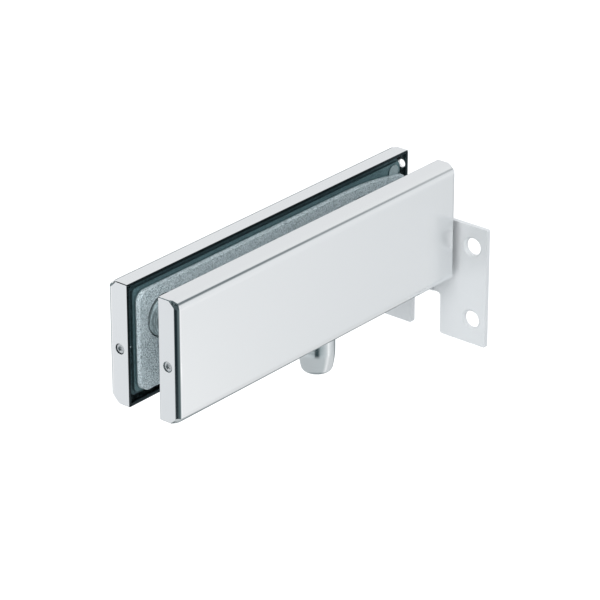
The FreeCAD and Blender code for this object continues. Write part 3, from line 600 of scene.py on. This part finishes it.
# %% [markdown]
# The covers are trays folded from one sheet. Two solid blanks, one inside the other,
# give an even wall. Each blank is what two simple prisms share: one has the long folds
# and the other the end folds, of which the one at the bracket is wider. So the flange
# corners stay square, and a mitred seam runs round each end flange. That open seam
# tells a viewer that this is folded sheet. Cones trim the face's four corners round.

# %% Cover sizes
SHEET = 1.2 * MM
LONG_BEND_R = 4.6 * MM
END_BEND_R = 2.4 * MM
OPEN_BEND_R = 3.6 * MM       # at the bracket end
BEND_STEPS = 14
CORNER_R = 7.0 * MM          # on the face
CORNER_DEPTH = 5.0 * MM      # how far the round reaches along the flanges
SEAM = 0.4 * MM
SEAM_END_GAP = 0.3 * MM
RELIEF_R = 0.6 * MM
cover_low, cover_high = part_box("rear_cover")
print("cover:", [round(v / MM, 2) for v in cover_high - cover_low], "mm")


# %% Covers: blanks and seams
def folded_blank(name, low, high, long_r, end_r):
    """A block with rounded folds on its outer side and square flange corners."""
    blank = start_block(name, low, high)
    round_edges(blank, long_r, BEND_STEPS, along("x", lambda middle: middle.y > high.y - NEAR))
    upright = start_block("end_folds", low - Vector((0, PAST, PAST)), high + Vector((0, 0, PAST)))
    for side, radius in ((-1, end_r), (1, end_r + OPEN_BEND_R - END_BEND_R)):
        round_edges(upright, radius, BEND_STEPS,
                    along("z", lambda middle: middle.y > high.y - NEAR and middle.x * side > 0))
    return combine(blank, upright, "INTERSECT")


def mitre_block(end_x, inward, shift):
    """A plate outside the cover's end whose inner face narrows at 45 degrees into it."""
    back_x = end_x - inward * (PAST - shift)
    far = Vector((back_x, cover_high.y + PAST, cover_high.z + PAST))
    near = Vector((back_x - inward * PAST, cover_low.y - 4 * PAST, cover_low.z - PAST))
    plate = start_block("mitre", near, far)
    round_edges(plate, LONG_BEND_R + PAST, BEND_STEPS, along("x", lambda middle: middle.y > far.y - NEAR))
    depth = 2 * PAST + SHEET
    edit(plate, "FACE", lambda middle, normal: normal.x * inward > 0.9, bpy.ops.mesh.inset,
         thickness=depth, depth=depth)
    return plate


def cut_seams(cover, end_x, inward):
    """Mitred slits round an end flange, each with a round relief at the end fold."""
    half = SEAM / math.sqrt(2)
    end_y = cover_high.y - (END_BEND_R if inward > 0 else OPEN_BEND_R) - SEAM_END_GAP
    side = (end_y - cover_high.y + LONG_BEND_R) / LONG_BEND_R
    rise = math.sqrt(1 - side ** 2)
    for centre_z, up in ((cover_low.z + LONG_BEND_R, -1), (cover_high.z - LONG_BEND_R, 1)):
        mouth = Vector((end_x, end_y, centre_z + up * LONG_BEND_R * rise))
        way = Vector((inward, -side, -up * rise))
        combine(cover, start_rod("relief", RELIEF_R, mouth - way * PAST, mouth + way * (SHEET + PAST), 20))
    slit = combine(mitre_block(end_x, inward, half), mitre_block(end_x, inward, -half))
    reach = Vector((4 * PAST, 0, 4 * PAST))
    limit = start_block("limit", Vector((end_x, 0, cover_low.z)) - reach,
                        Vector((end_x, end_y, cover_high.z)) + reach)
    combine(slit, limit, "INTERSECT")
    combine(cover, slit)


def round_corners(cover):
    """Trim the face's four corners with cones that fade out along the flanges."""
    root_r = CORNER_R * math.sqrt(2)
    slope = (root_r - CORNER_R) / CORNER_DEPTH
    start_y, end_y = cover_high.y - CORNER_DEPTH, cover_high.y + PAST
    for x, out_x in ((cover_low.x, -1), (cover_high.x, 1)):
        for z, out_z in ((cover_low.z, -1), (cover_high.z, 1)):
            axis = Vector((x - out_x * CORNER_R, start_y, z - out_z * CORNER_R))
            far = Vector((x + out_x * PAST, end_y, z + out_z * PAST))
            corner = start_block("corner", axis, far)
            bore(corner, "y", axis, start_y - PAST, end_y + PAST, root_r + slope * PAST, sides=96,
                 end_radius=CORNER_R - 2 * slope * PAST)
            combine(cover, corner)


# %% Rear cover
cover_rear = folded_blank("cover_rear", cover_low, cover_high, LONG_BEND_R, END_BEND_R)
inside_low = cover_low + Vector((SHEET, -PAST, SHEET))
inside_high = cover_high - Vector((SHEET, SHEET, SHEET))
combine(cover_rear, folded_blank("inside", inside_low, inside_high, LONG_BEND_R - SHEET, END_BEND_R - SHEET))
round_corners(cover_rear)
for end_x, inward in ((cover_low.x, 1), (cover_high.x, -1)):
    cut_seams(cover_rear, end_x, inward)

# %% Holes in the cover: set screws, the open hole at the bracket end, the pin's notch
SCREW_HOLE_R = 2.25 * MM
VIEW_HOLE_R = 1.8 * MM
VIEW_HOLE_IN = 2.3 * MM      # from the flange's free edge
VIEW_HOLE_DOWN = 6.2 * MM    # from the top
NOTCH_HALF = 8.3 * MM
NOTCH_END_Y = 11.9 * MM
screw_middle = node_middle("rear_cover_screw_left")
view_hole = Vector((0, cover_low.y + VIEW_HOLE_IN, cover_high.z - VIEW_HOLE_DOWN))
holes = [(cover_low.x, screw_middle, SCREW_HOLE_R), (cover_high.x, screw_middle, SCREW_HOLE_R),
         (cover_high.x, view_hole, VIEW_HOLE_R)]
for end_x, middle, radius in holes:
    bore(cover_rear, "x", middle, end_x - 2 * PAST, end_x + 2 * PAST, radius, sides=40)
notch_y = NOTCH_END_Y - NOTCH_HALF
notch = start_rod("notch", NOTCH_HALF, (0, notch_y, -PAST), (0, notch_y, 2 * PAST), sides=72)
combine(notch, start_block("notch_way", (-NOTCH_HALF, 0, -PAST), (NOTCH_HALF, notch_y, 2 * PAST)), "UNION")
combine(cover_rear, notch)
COVER_EDGE = 0.08 * MM
cover_front = mirror_copy(cover_rear, "cover_front")
for piece, half in ((cover_rear, "rear"), (cover_front, "front")):
    finish_piece(piece, cover_steel, half + "_half", [half + "_cover"], edge=COVER_EDGE)

# %% [markdown]
# The gaskets are cut from pressed fibre sheet. The outline has round corners, a top
# edge that droops towards the bracket, and openings for the bosses, the block and the
# bracket's tongue. The face gets soft rims, because a knife leaves fibre a bit rounded.

# %% Gaskets
PAD_CORNER_R = 4.5 * MM      # of the casting's pad
PAD_MARGIN = 0.2 * MM        # by which that pad is larger than the gasket
PAD_NOTCH_R = 3.0 * MM
PAD_EDGE = 0.25 * MM
DROOP_RUN = 38.0 * MM
DROOP = 4.2 * MM
DROOP_STEPS = 16
OPENING_R = 9.05 * MM
BLOCK_GAP = 1.0 * MM
TONGUE_GAP = 1.4 * MM
TONGUE_WAY_TOP = 23.4 * MM
gasket_low, gasket_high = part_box("rear_gasket")
casting_low, casting_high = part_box("rear_clamp_body")
bolt_middle = [node_middle("clamp_bolt_" + end) for end in ("left", "right")]
block_low, block_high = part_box("pivot_block")
bracket_low, bracket_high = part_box("end_bracket")


def rounded_notch(name, low, high):
    """A cutting block with round upper corners, seen along the middle plane's normal."""
    notch = start_block(name, low, high)
    round_edges(notch, PAD_NOTCH_R, 8, along("y", lambda middle: middle.z > high[2] - NEAR))
    return notch


def pad_sheet(name, y_near, y_far, grow):
    """The gasket's outline between two depths, grown all round by a margin."""
    low = Vector((gasket_low.x - grow, y_near, gasket_low.z - grow))
    high = Vector((gasket_high.x + grow, y_far, gasket_high.z + grow))
    pad = start_block(name, low, high)
    droop_start = casting_high.x - DROOP_RUN
    radius = (DROOP_RUN ** 2 + DROOP ** 2) / (2 * DROOP)
    for step in range(DROOP_STEPS):
        cut_x = droop_start + (high.x - droop_start) * step / DROOP_STEPS
        edit(pad, "FACE", everything, bpy.ops.mesh.bisect, plane_co=(cut_x, 0, 0), plane_no=(1, 0, 0))
    for vertex in pad.data.vertices:
        run = vertex.co.x - droop_start
        if run > 0 and vertex.co.z > high.z - NEAR:
            vertex.co.z -= radius - math.sqrt(radius ** 2 - run ** 2)
    round_edges(pad, PAD_CORNER_R - (PAD_MARGIN - grow), 12, along("y", lambda middle: middle.x < low.x + NEAR))
    y0, y1 = y_near - PAST, y_far + PAST
    gap = BLOCK_GAP - grow
    combine(pad, rounded_notch("block_way", (block_low.x - gap, y0, -PAST),
                               (block_high.x + gap, y1, block_high.z + gap)))
    combine(pad, rounded_notch("tongue_way", (bracket_low.x - TONGUE_GAP + grow, y0, -PAST),
                               (high.x + PAST, y1, TONGUE_WAY_TOP - grow)))
    for middle in bolt_middle:
        bore(pad, "y", middle, y0, y1, OPENING_R, sides=72)
    return pad


gasket_rear = pad_sheet("gasket_rear", gasket_low.y, gasket_high.y, 0)
gasket_front = mirror_copy(gasket_rear, "gasket_front")
for piece, half in ((gasket_rear, "rear"), (gasket_front, "front")):
    finish_piece(piece, fibre, half + "_half", [half + "_gasket"], edge=PAD_EDGE)

# %% [markdown]
# The pin is turned on a lathe, so it is made like one: a line of points is drawn from
# the shank's top down to the nose, and spun once round the axis. Fine steps on the
# nose keep its reflection smooth.

# %% Helper: lathe
def lathe(name, profile, steps=96):
    """Spin a line of (radius, height) points round the vertical axis, with closed ends."""
    turned = start_point(name, *profile[0])
    for (r0, z0), (r1, z1) in zip(profile, profile[1:]):
        bpy.ops.mesh.extrude_vertices_move(TRANSFORM_OT_translate={"value": (r1 - r0, 0, z1 - z0)})
    bpy.ops.mesh.select_all(action="SELECT")
    bpy.ops.mesh.spin(steps=steps, angle=math.tau, center=(0, 0, 0), axis=(0, 0, 1))
    bpy.ops.mesh.select_all(action="SELECT")
    bpy.ops.mesh.remove_doubles(threshold=NEAR)
    bpy.ops.mesh.normals_make_consistent()
    bpy.ops.object.mode_set(mode="OBJECT")
    return turned


# %% Pivot pin
PIN_R = 7.5 * MM
SHANK_R = 5.0 * MM
SHANK_CHAMFER = 0.6 * MM
SHOULDER_Z = 1.4 * MM
SHOULDER_IN = 0.3 * MM
SHOULDER_LOW_Z = 1.1 * MM
STRAIGHT = 10.5 * MM         # below the origin, before the sides begin to curve in
NOSE = 8.3 * MM              # height of that slow curve
NOSE_R = 6.5 * MM            # radius at its lower end
SHORTER = 0.8 * MM           # the tip is a little blunter than the CAD model's
NOSE_STEPS, TIP_STEPS = 12, 10
pin_low, pin_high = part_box("pivot_pin")
end_z = pin_low.z + SHORTER
step_r = PIN_R - NOSE_R
sweep_r = (NOSE ** 2 + step_r ** 2) / (2 * step_r)
sweep = math.asin(NOSE / sweep_r)
end_r = (-end_z - STRAIGHT - NOSE) / (1 - math.sin(sweep))
profile = [(0, pin_high.z), (SHANK_R - SHANK_CHAMFER, pin_high.z), (SHANK_R, pin_high.z - SHANK_CHAMFER),
           (SHANK_R, SHOULDER_Z), (PIN_R - SHOULDER_IN, SHOULDER_Z), (PIN_R, SHOULDER_LOW_Z)]
for k in range(NOSE_STEPS + 1):
    turn = sweep * k / NOSE_STEPS
    profile.append((PIN_R - sweep_r * (1 - math.cos(turn)), -STRAIGHT - sweep_r * math.sin(turn)))
for k in range(1, TIP_STEPS + 1):
    turn = sweep + (math.pi / 2 - sweep) * k / TIP_STEPS
    profile.append((NOSE_R - end_r * (math.cos(sweep) - math.cos(turn)), end_z + end_r * (1 - math.sin(turn))))
profile.append((0, end_z))
pin = lathe("turned_pin", profile)
finish_piece(pin, turned_steel, "rear_half", ["pivot_pin"], angle=30)

# %% [markdown]
# Small screws are easy to overlook, but they are the darkest spots on the end faces. A
# set screw is a short rod with chamfered ends and a hexagon socket. The socket has a
# lead-in at its mouth, and the drill's point shows at its bottom as a small cone.

# %% Cover set screws
SCREW_R = 2.0 * MM
SCREW_CHAMFER = 0.35 * MM
SOCKET_R = 1.6 * MM / math.sqrt(3)
SOCKET_TOOLS = [             # start and end below the mouth, radius at both, sides
    (-PAST, 0.6 * MM, SOCKET_R, SOCKET_R, 6),
    (0.5 * MM, 0.9 * MM, 0.7 * MM, 0.05 * MM, 24),
    (-0.2 * MM, 0.35 * MM, 1.45 * MM, 0.9 * MM, 40),
]


def set_screw(name, node, inward, body):
    """A set screw in an end face, with its socket towards the outside."""
    low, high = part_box(node)
    centre = node_middle(node)
    head, tip = (low.x, high.x) if inward > 0 else (high.x, low.x)
    screw = start_rod(name, SCREW_R, (head, centre.y, centre.z), (tip, centre.y, centre.z), sides=40)
    round_edges(screw, SCREW_CHAMFER, 2, lambda middle, way: abs(way.x) < 0.1)
    for start, stop, radius, end_radius, sides in SOCKET_TOOLS:
        bore(screw, "x", centre, head + inward * start, head + inward * stop, radius, sides, end_radius)
    finish_piece(screw, drawn_steel, body, [node])


for side in ("rear", "front"):
    for end, inward in (("left", 1), ("right", -1)):
        set_screw("set_screw_%s_%s" % (side, end), "%s_cover_screw_%s" % (side, end), inward, side + "_half")

# %% [markdown]
# The castings share one shape: a rounded base, a stepped face, the raised pad, the mark
# of an ejector and back pockets that save metal. Cast pockets need sloping walls so
# that the part leaves its mould, so each pocket's floor is smaller than its mouth.

# %% Castings: shared blank
CAST_FACE_Y = 9.5 * MM
CAST_STEP_Y = 10.3 * MM
STEP = 1.2 * MM
CAST_EDGE_R = 2.2 * MM
BACK_EDGE_R = 1.9 * MM
MARK_R, MARK_RISE = 3.1 * MM, 0.45 * MM
MARK_IN, MARK_DOWN = 4.4 * MM, 5.0 * MM
SCREW_WAY = 10 * MM
POCKET_HALF = Vector((6.5, 0, 7.0)) * MM
POCKET_DEPTH = 3.4 * MM
POCKET_CORNER_R, POCKET_FLOOR_R = 2.0 * MM, 0.7 * MM
POCKET_TAPER, POCKET_COLUMNS = 0.93, 3
POCKET_START, POCKET_PITCH = 17.5 * MM, 15.5 * MM     # from the left bolt
POCKET_IN = 11 * MM          # from the lower and upper edge to a pocket's middle
BACK_Y = casting_high.y
cast_low = Vector((casting_low.x, CAST_STEP_Y, casting_low.z))


def back_pocket(x, z):
    """A pocket in the back with sloping walls and a rounded floor."""
    centre, floor_y = Vector((x, 0, z)), BACK_Y - POCKET_DEPTH
    pocket = start_block("pocket", centre - POCKET_HALF + Vector((0, floor_y, 0)),
                         centre + POCKET_HALF + Vector((0, BACK_Y + PAST, 0)))
    round_edges(pocket, POCKET_CORNER_R, 5, along("y"))
    edit(pocket, "FACE", lambda middle, normal: normal.y < -0.9, bpy.ops.transform.resize,
         value=(POCKET_TAPER, 1, POCKET_TAPER), center_override=centre)
    round_edges(pocket, POCKET_FLOOR_R, 3, lambda middle, way: middle.y < floor_y + NEAR)
    return pocket


def casting_blank(name):
    """The rear casting without bosses, seat and bolt holes."""
    body = start_block(name, cast_low, casting_high)
    round_edges(body, CAST_EDGE_R, 8, along("y"))
    round_edges(body, BACK_EDGE_R, 6, lambda middle, way: middle.y > BACK_Y - NEAR)
    face = start_block("face", (cast_low.x + STEP, CAST_FACE_Y, cast_low.z + STEP),
                       (casting_high.x, CAST_STEP_Y + PAST, casting_high.z - STEP))
    round_edges(face, CAST_EDGE_R, 8, along("y"))
    combine(body, face, "UNION")
    mark_x, mark_z = casting_high.x - MARK_IN, casting_high.z - MARK_DOWN
    combine(body, start_rod("mark", MARK_R, (mark_x, CAST_FACE_Y - MARK_RISE, mark_z),
                            (mark_x, CAST_STEP_Y, mark_z)), "UNION")
    combine(body, pad_sheet("pad", gasket_high.y, CAST_STEP_Y, PAD_MARGIN), "UNION")
    for x, inward in ((cast_low.x, 1), (casting_high.x, -1)):
        start_x = x - inward * PAST
        bore(body, "x", screw_middle, start_x, start_x + inward * SCREW_WAY, SCREW_R, sides=40)
    for column in range(POCKET_COLUMNS):
        for z in (cast_low.z + POCKET_IN, casting_high.z - POCKET_IN):
            combine(body, back_pocket(bolt_middle[0].x + POCKET_START + column * POCKET_PITCH, z))
    return body


# %% Rear casting: bosses, seat and screw holes
BOLT_HOLE_R = 3.3 * MM
BOSS_TIP_R, BOSS_ROOT_R = 8.0 * MM, 8.73 * MM
BOSS_ROOT_Y = CAST_FACE_Y + 0.4 * MM
INSERT_R = 5.0 * MM
SEAT_Y, SEAT_TOP = 4.0 * MM, 22.0 * MM
SEAT_IN = 1.0 * MM           # from the tongue's free end
BRACKET_SCREW_R, TIP_ROOM = 2.5 * MM, 0.5 * MM
BLOCK_SCREW_R = 2.7 * MM
SINK_R = 5.42 * MM           # widest, just outside the back
SINK_OUT, SINK_DEPTH = 0.5 * MM, 2.4 * MM
CAST_EDGE = 0.15 * MM
insert_low, insert_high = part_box("threaded_insert_left")
casting_rear = casting_blank("casting_rear")
for middle in bolt_middle:
    tip, root = (middle.x, insert_low.y, middle.z), (middle.x, BOSS_ROOT_Y, middle.z)
    combine(casting_rear, start_rod("boss", BOSS_TIP_R, tip, root, 72, BOSS_ROOT_R), "UNION")
    bore(casting_rear, "y", middle, insert_low.y - PAST, insert_high.y, INSERT_R, sides=64)
    bore(casting_rear, "y", middle, insert_low.y - PAST, BACK_Y + PAST, BOLT_HOLE_R)
seat = start_block("seat", (bracket_low.x + SEAT_IN, SEAT_Y, cast_low.z),
                   (casting_high.x, CAST_FACE_Y + PAST, SEAT_TOP))
round_edges(seat, CAST_EDGE_R, 6, along("y"))
combine(casting_rear, seat, "UNION")
bracket_screws = ("bracket_screw_lower", "bracket_screw_upper")
for name in bracket_screws:
    bore(casting_rear, "y", node_middle(name), 0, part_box(name)[1].y + TIP_ROOM, BRACKET_SCREW_R, sides=40)
for name in ("block_screw_left", "block_screw_right"):
    middle = node_middle(name)
    bore(casting_rear, "y", middle, BACK_Y + SINK_OUT, BACK_Y - SINK_DEPTH, SINK_R, end_radius=BLOCK_SCREW_R)
    bore(casting_rear, "y", middle, BACK_Y, CAST_FACE_Y - PAST, BLOCK_SCREW_R, sides=40)
finish_piece(casting_rear, cast_skin, "rear_half", ["rear_clamp_body"],
             edge=CAST_EDGE, angle=40)

# %% Front casting: counterbores and the relief over the block
RELIEF_GAP = 0.8 * MM
RELIEF_DEPTH = 3.0 * MM
HEAD_WAY_R, HEAD_WAY_DEPTH = 6.1 * MM, 4.0 * MM
blank = casting_blank("casting_blank")
casting_front = mirror_copy(blank, "casting_front")
bpy.data.objects.remove(blank)
relief = start_block("relief", (block_low.x - RELIEF_GAP, -CAST_FACE_Y - RELIEF_DEPTH, -PAST),
                     (block_high.x + RELIEF_GAP, 0, block_high.z + RELIEF_GAP))
round_edges(relief, CAST_EDGE_R, 6, along("y", lambda middle: middle.z > 0))
combine(casting_front, relief)
for middle in bolt_middle:
    bore(casting_front, "y", middle, -BACK_Y - PAST, 0, BOLT_HOLE_R)
    bore(casting_front, "y", middle, -BACK_Y - PAST, -BACK_Y + HEAD_WAY_DEPTH, HEAD_WAY_R, sides=64)
finish_piece(casting_front, cast_skin, "front_half", ["front_clamp_body"],
             edge=CAST_EDGE, angle=40)

# %% [markdown]
# The bracket is a pressed plate with a thick tongue. The plate's outer corners are
# barely rounded, the slot runs in from below, and each hole has a countersink on the
# side of the covers. The tongue's foot slopes, so one edge of a block is moved for it.

# %% End bracket: plate
PLATE, PLATE_TOP = 2.0 * MM, 25 * MM
PLATE_CORNER_R = 0.6 * MM
SLOT_HALF, SLOT_TOP = 7.5 * MM, -10 * MM
SLOT_R, SLOT_MOUTH_R = 1.6 * MM, 1.2 * MM
HOLE_R, HOLE_Y = 3.8 * MM, 23.6 * MM
HOLE_HEIGHTS = (bracket_low.z + 10.8 * MM, 15.5 * MM)
PLATE_SINK_R, PLATE_SINK_DEPTH = 5.6 * MM, 0.8 * MM
plate_x = bracket_high.x - PLATE
bracket = start_block("wall_bracket", (plate_x, bracket_low.y, bracket_low.z),
                      (bracket_high.x, bracket_high.y, PLATE_TOP))
round_edges(bracket, PLATE_CORNER_R, 4, along("x"))
slot = start_block("slot", (plate_x - PAST, -SLOT_HALF, bracket_low.z - PAST),
                   (bracket_high.x + PAST, SLOT_HALF, SLOT_TOP))
round_edges(slot, SLOT_R, 6, along("x", lambda middle: middle.z > SLOT_TOP - PAST))
combine(bracket, slot)
round_edges(bracket, SLOT_MOUTH_R, 6,
            along("x", lambda middle: middle.z < bracket_low.z + NEAR and abs(middle.y) < SLOT_HALF + NEAR))
for y in (-HOLE_Y, HOLE_Y):
    for z in HOLE_HEIGHTS:
        bore(bracket, "x", (0, y, z), plate_x - PAST, bracket_high.x + PAST, HOLE_R, sides=64)
        bore(bracket, "x", (0, y, z), plate_x - PAST, plate_x + PLATE_SINK_DEPTH, PLATE_SINK_R, 64, HOLE_R)

# %% End bracket: tongue
TONGUE_HALF = 4 * MM
TONGUE_LOW, TONGUE_TOP = 2.2 * MM, 22 * MM
TONGUE_CORNER_R = 1.5 * MM
FOOT_REACH, FOOT_SLOPE, FOOT_LOW = 7.4 * MM, 6.4 * MM, -10 * MM
FOOT_TIP_R = 1.0 * MM
TONGUE_HOLE_R = 2.7 * MM
TONGUE_SINK_R, TONGUE_SINK_Y = 5.713 * MM, -1.7 * MM
BRACKET_EDGE = 0.12 * MM
tongue = start_block("tongue", (bracket_low.x, -TONGUE_HALF, TONGUE_LOW),
                     (plate_x + PAST, TONGUE_HALF, TONGUE_TOP))
round_edges(tongue, TONGUE_CORNER_R, 6, along("y", lambda middle: middle.x < bracket_low.x + NEAR))
foot = start_block("foot", (plate_x - FOOT_REACH, -TONGUE_HALF, FOOT_LOW),
                   (plate_x + PAST, TONGUE_HALF, TONGUE_LOW + PAST))
edit(foot, "EDGE", along("y", lambda middle: middle.x < plate_x - PAST and middle.z < 0),
     bpy.ops.transform.translate, value=(FOOT_SLOPE, 0, 0))
round_edges(foot, FOOT_TIP_R, 4, along("y", lambda middle: middle.x < plate_x - PAST / 2 and middle.z < 0))
combine(tongue, foot, "UNION")
side_y = TONGUE_HALF + PAST
for name in bracket_screws:
    middle = node_middle(name)
    bore(tongue, "y", middle, -side_y, side_y, TONGUE_HOLE_R, sides=40)
    bore(tongue, "y", middle, -side_y, TONGUE_SINK_Y, TONGUE_SINK_R, end_radius=TONGUE_HOLE_R)
combine(bracket, tongue, "UNION")
finish_piece(bracket, satin_plate, "rear_half", ["end_bracket"], edge=BRACKET_EDGE)

# %% [markdown]
# A thread is a ridge that climbs round its rod. One tooth is drawn as a short line, the
# Screw modifier turns it upwards turn by turn, and two straight cuts close the ends.

# %% Helper: threaded rod
THREAD_STEPS = 32
FLAT, FLANK = 0.12, 0.38     # shares of a pitch
BELOW = 1.537                # pitches, uneven so that no cut meets a vertex


def threaded_rod(name, root_r, crest_r, pitch, length):
    """A thread round the vertical axis from the origin up to a length."""
    thread = start_point(name, root_r, -BELOW * pitch)
    depth = crest_r - root_r
    for out, up in ((0, FLAT), (depth, FLANK), (0, FLAT), (-depth, FLANK)):
        bpy.ops.mesh.extrude_vertices_move(TRANSFORM_OT_translate={"value": (out, 0, up * pitch)})
    bpy.ops.object.mode_set(mode="OBJECT")
    apply_modifier(thread, "SCREW", axis="Z", screw_offset=pitch, iterations=int(length / pitch) + 3,
                   steps=THREAD_STEPS, render_steps=THREAD_STEPS, use_merge_vertices=True,
                   merge_threshold=NEAR)
    bpy.ops.object.mode_set(mode="EDIT")
    bpy.ops.mesh.select_all(action="SELECT")
    bpy.ops.mesh.remove_doubles(threshold=NEAR)
    for z, side in ((0, {"clear_inner": True}), (length, {"clear_outer": True})):
        bpy.ops.mesh.select_all(action="SELECT")
        bpy.ops.mesh.bisect(plane_co=(0, 0, z), plane_no=(0, 0, 1), use_fill=True, threshold=NEAR, **side)
    bpy.ops.mesh.select_all(action="SELECT")
    bpy.ops.mesh.normals_make_consistent()
    bpy.ops.object.mode_set(mode="OBJECT")
    return thread


# %% Clamp bolts
ROOT_R, CREST_R, PITCH = 2.55 * MM, 2.98 * MM, 1.0 * MM
THREAD_LENGTH = 14.0 * MM
BOLT_SHANK_R = 2.75 * MM
OVERLAP = 0.3 * MM
HEAD_R, HEAD_HEIGHT = 5.0 * MM, 3.0 * MM
HEAD_EDGE_R = 0.6 * MM
KEY_R = 3.5 * MM / math.sqrt(3)
KEY_TOOLS = [                # start and end up from the head's face, radius at both, sides
    (-1.7 * MM, PAST, KEY_R, KEY_R, 6),
    (-2.2 * MM, -1.6 * MM, 0.05 * MM, 1.5 * MM, 24),
]
for end in ("left", "right"):
    node = "clamp_bolt_" + end
    low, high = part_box(node)
    middle = node_middle(node)
    length = high.y - low.y
    bolt = threaded_rod("bolt_" + end, ROOT_R, CREST_R, PITCH, THREAD_LENGTH)
    shank = start_rod("shank", BOLT_SHANK_R, (0, 0, THREAD_LENGTH - OVERLAP), (0, 0, length - PAST))
    combine(bolt, shank, "UNION")
    head = start_rod("head", HEAD_R, (0, 0, length - HEAD_HEIGHT), (0, 0, length), sides=72)
    round_edges(head, HEAD_EDGE_R, 4, lambda middle, way: middle.z > length - NEAR)
    combine(bolt, head, "UNION")
    for start, stop, radius, end_radius, sides in KEY_TOOLS:
        bore(bolt, "z", (0, 0, 0), length + start, length + stop, radius, sides, end_radius)
    for axis, turn in (("X", math.pi / 2), ("Z", math.pi)):
        edit(bolt, "FACE", everything, bpy.ops.transform.rotate, value=turn, orient_axis=axis,
             center_override=(0, 0, 0))
    edit(bolt, "FACE", everything, bpy.ops.transform.translate, value=(middle.x, high.y, middle.z))
    finish_piece(bolt, drawn_steel, "front_half", [node], angle=30)

# %% Finish the CAD nodes that stay
FINISHES = {material.name.split(".")[0]: material for material in (
    cover_steel, cast_skin, fibre, satin_plate, turned_steel, milled_steel, drawn_steel)}
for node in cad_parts.values():
    for slot in node.material_slots:
        slot.material = FINISHES[slot.material.name.split(".")[0]]
print("finished CAD nodes:", len(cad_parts))
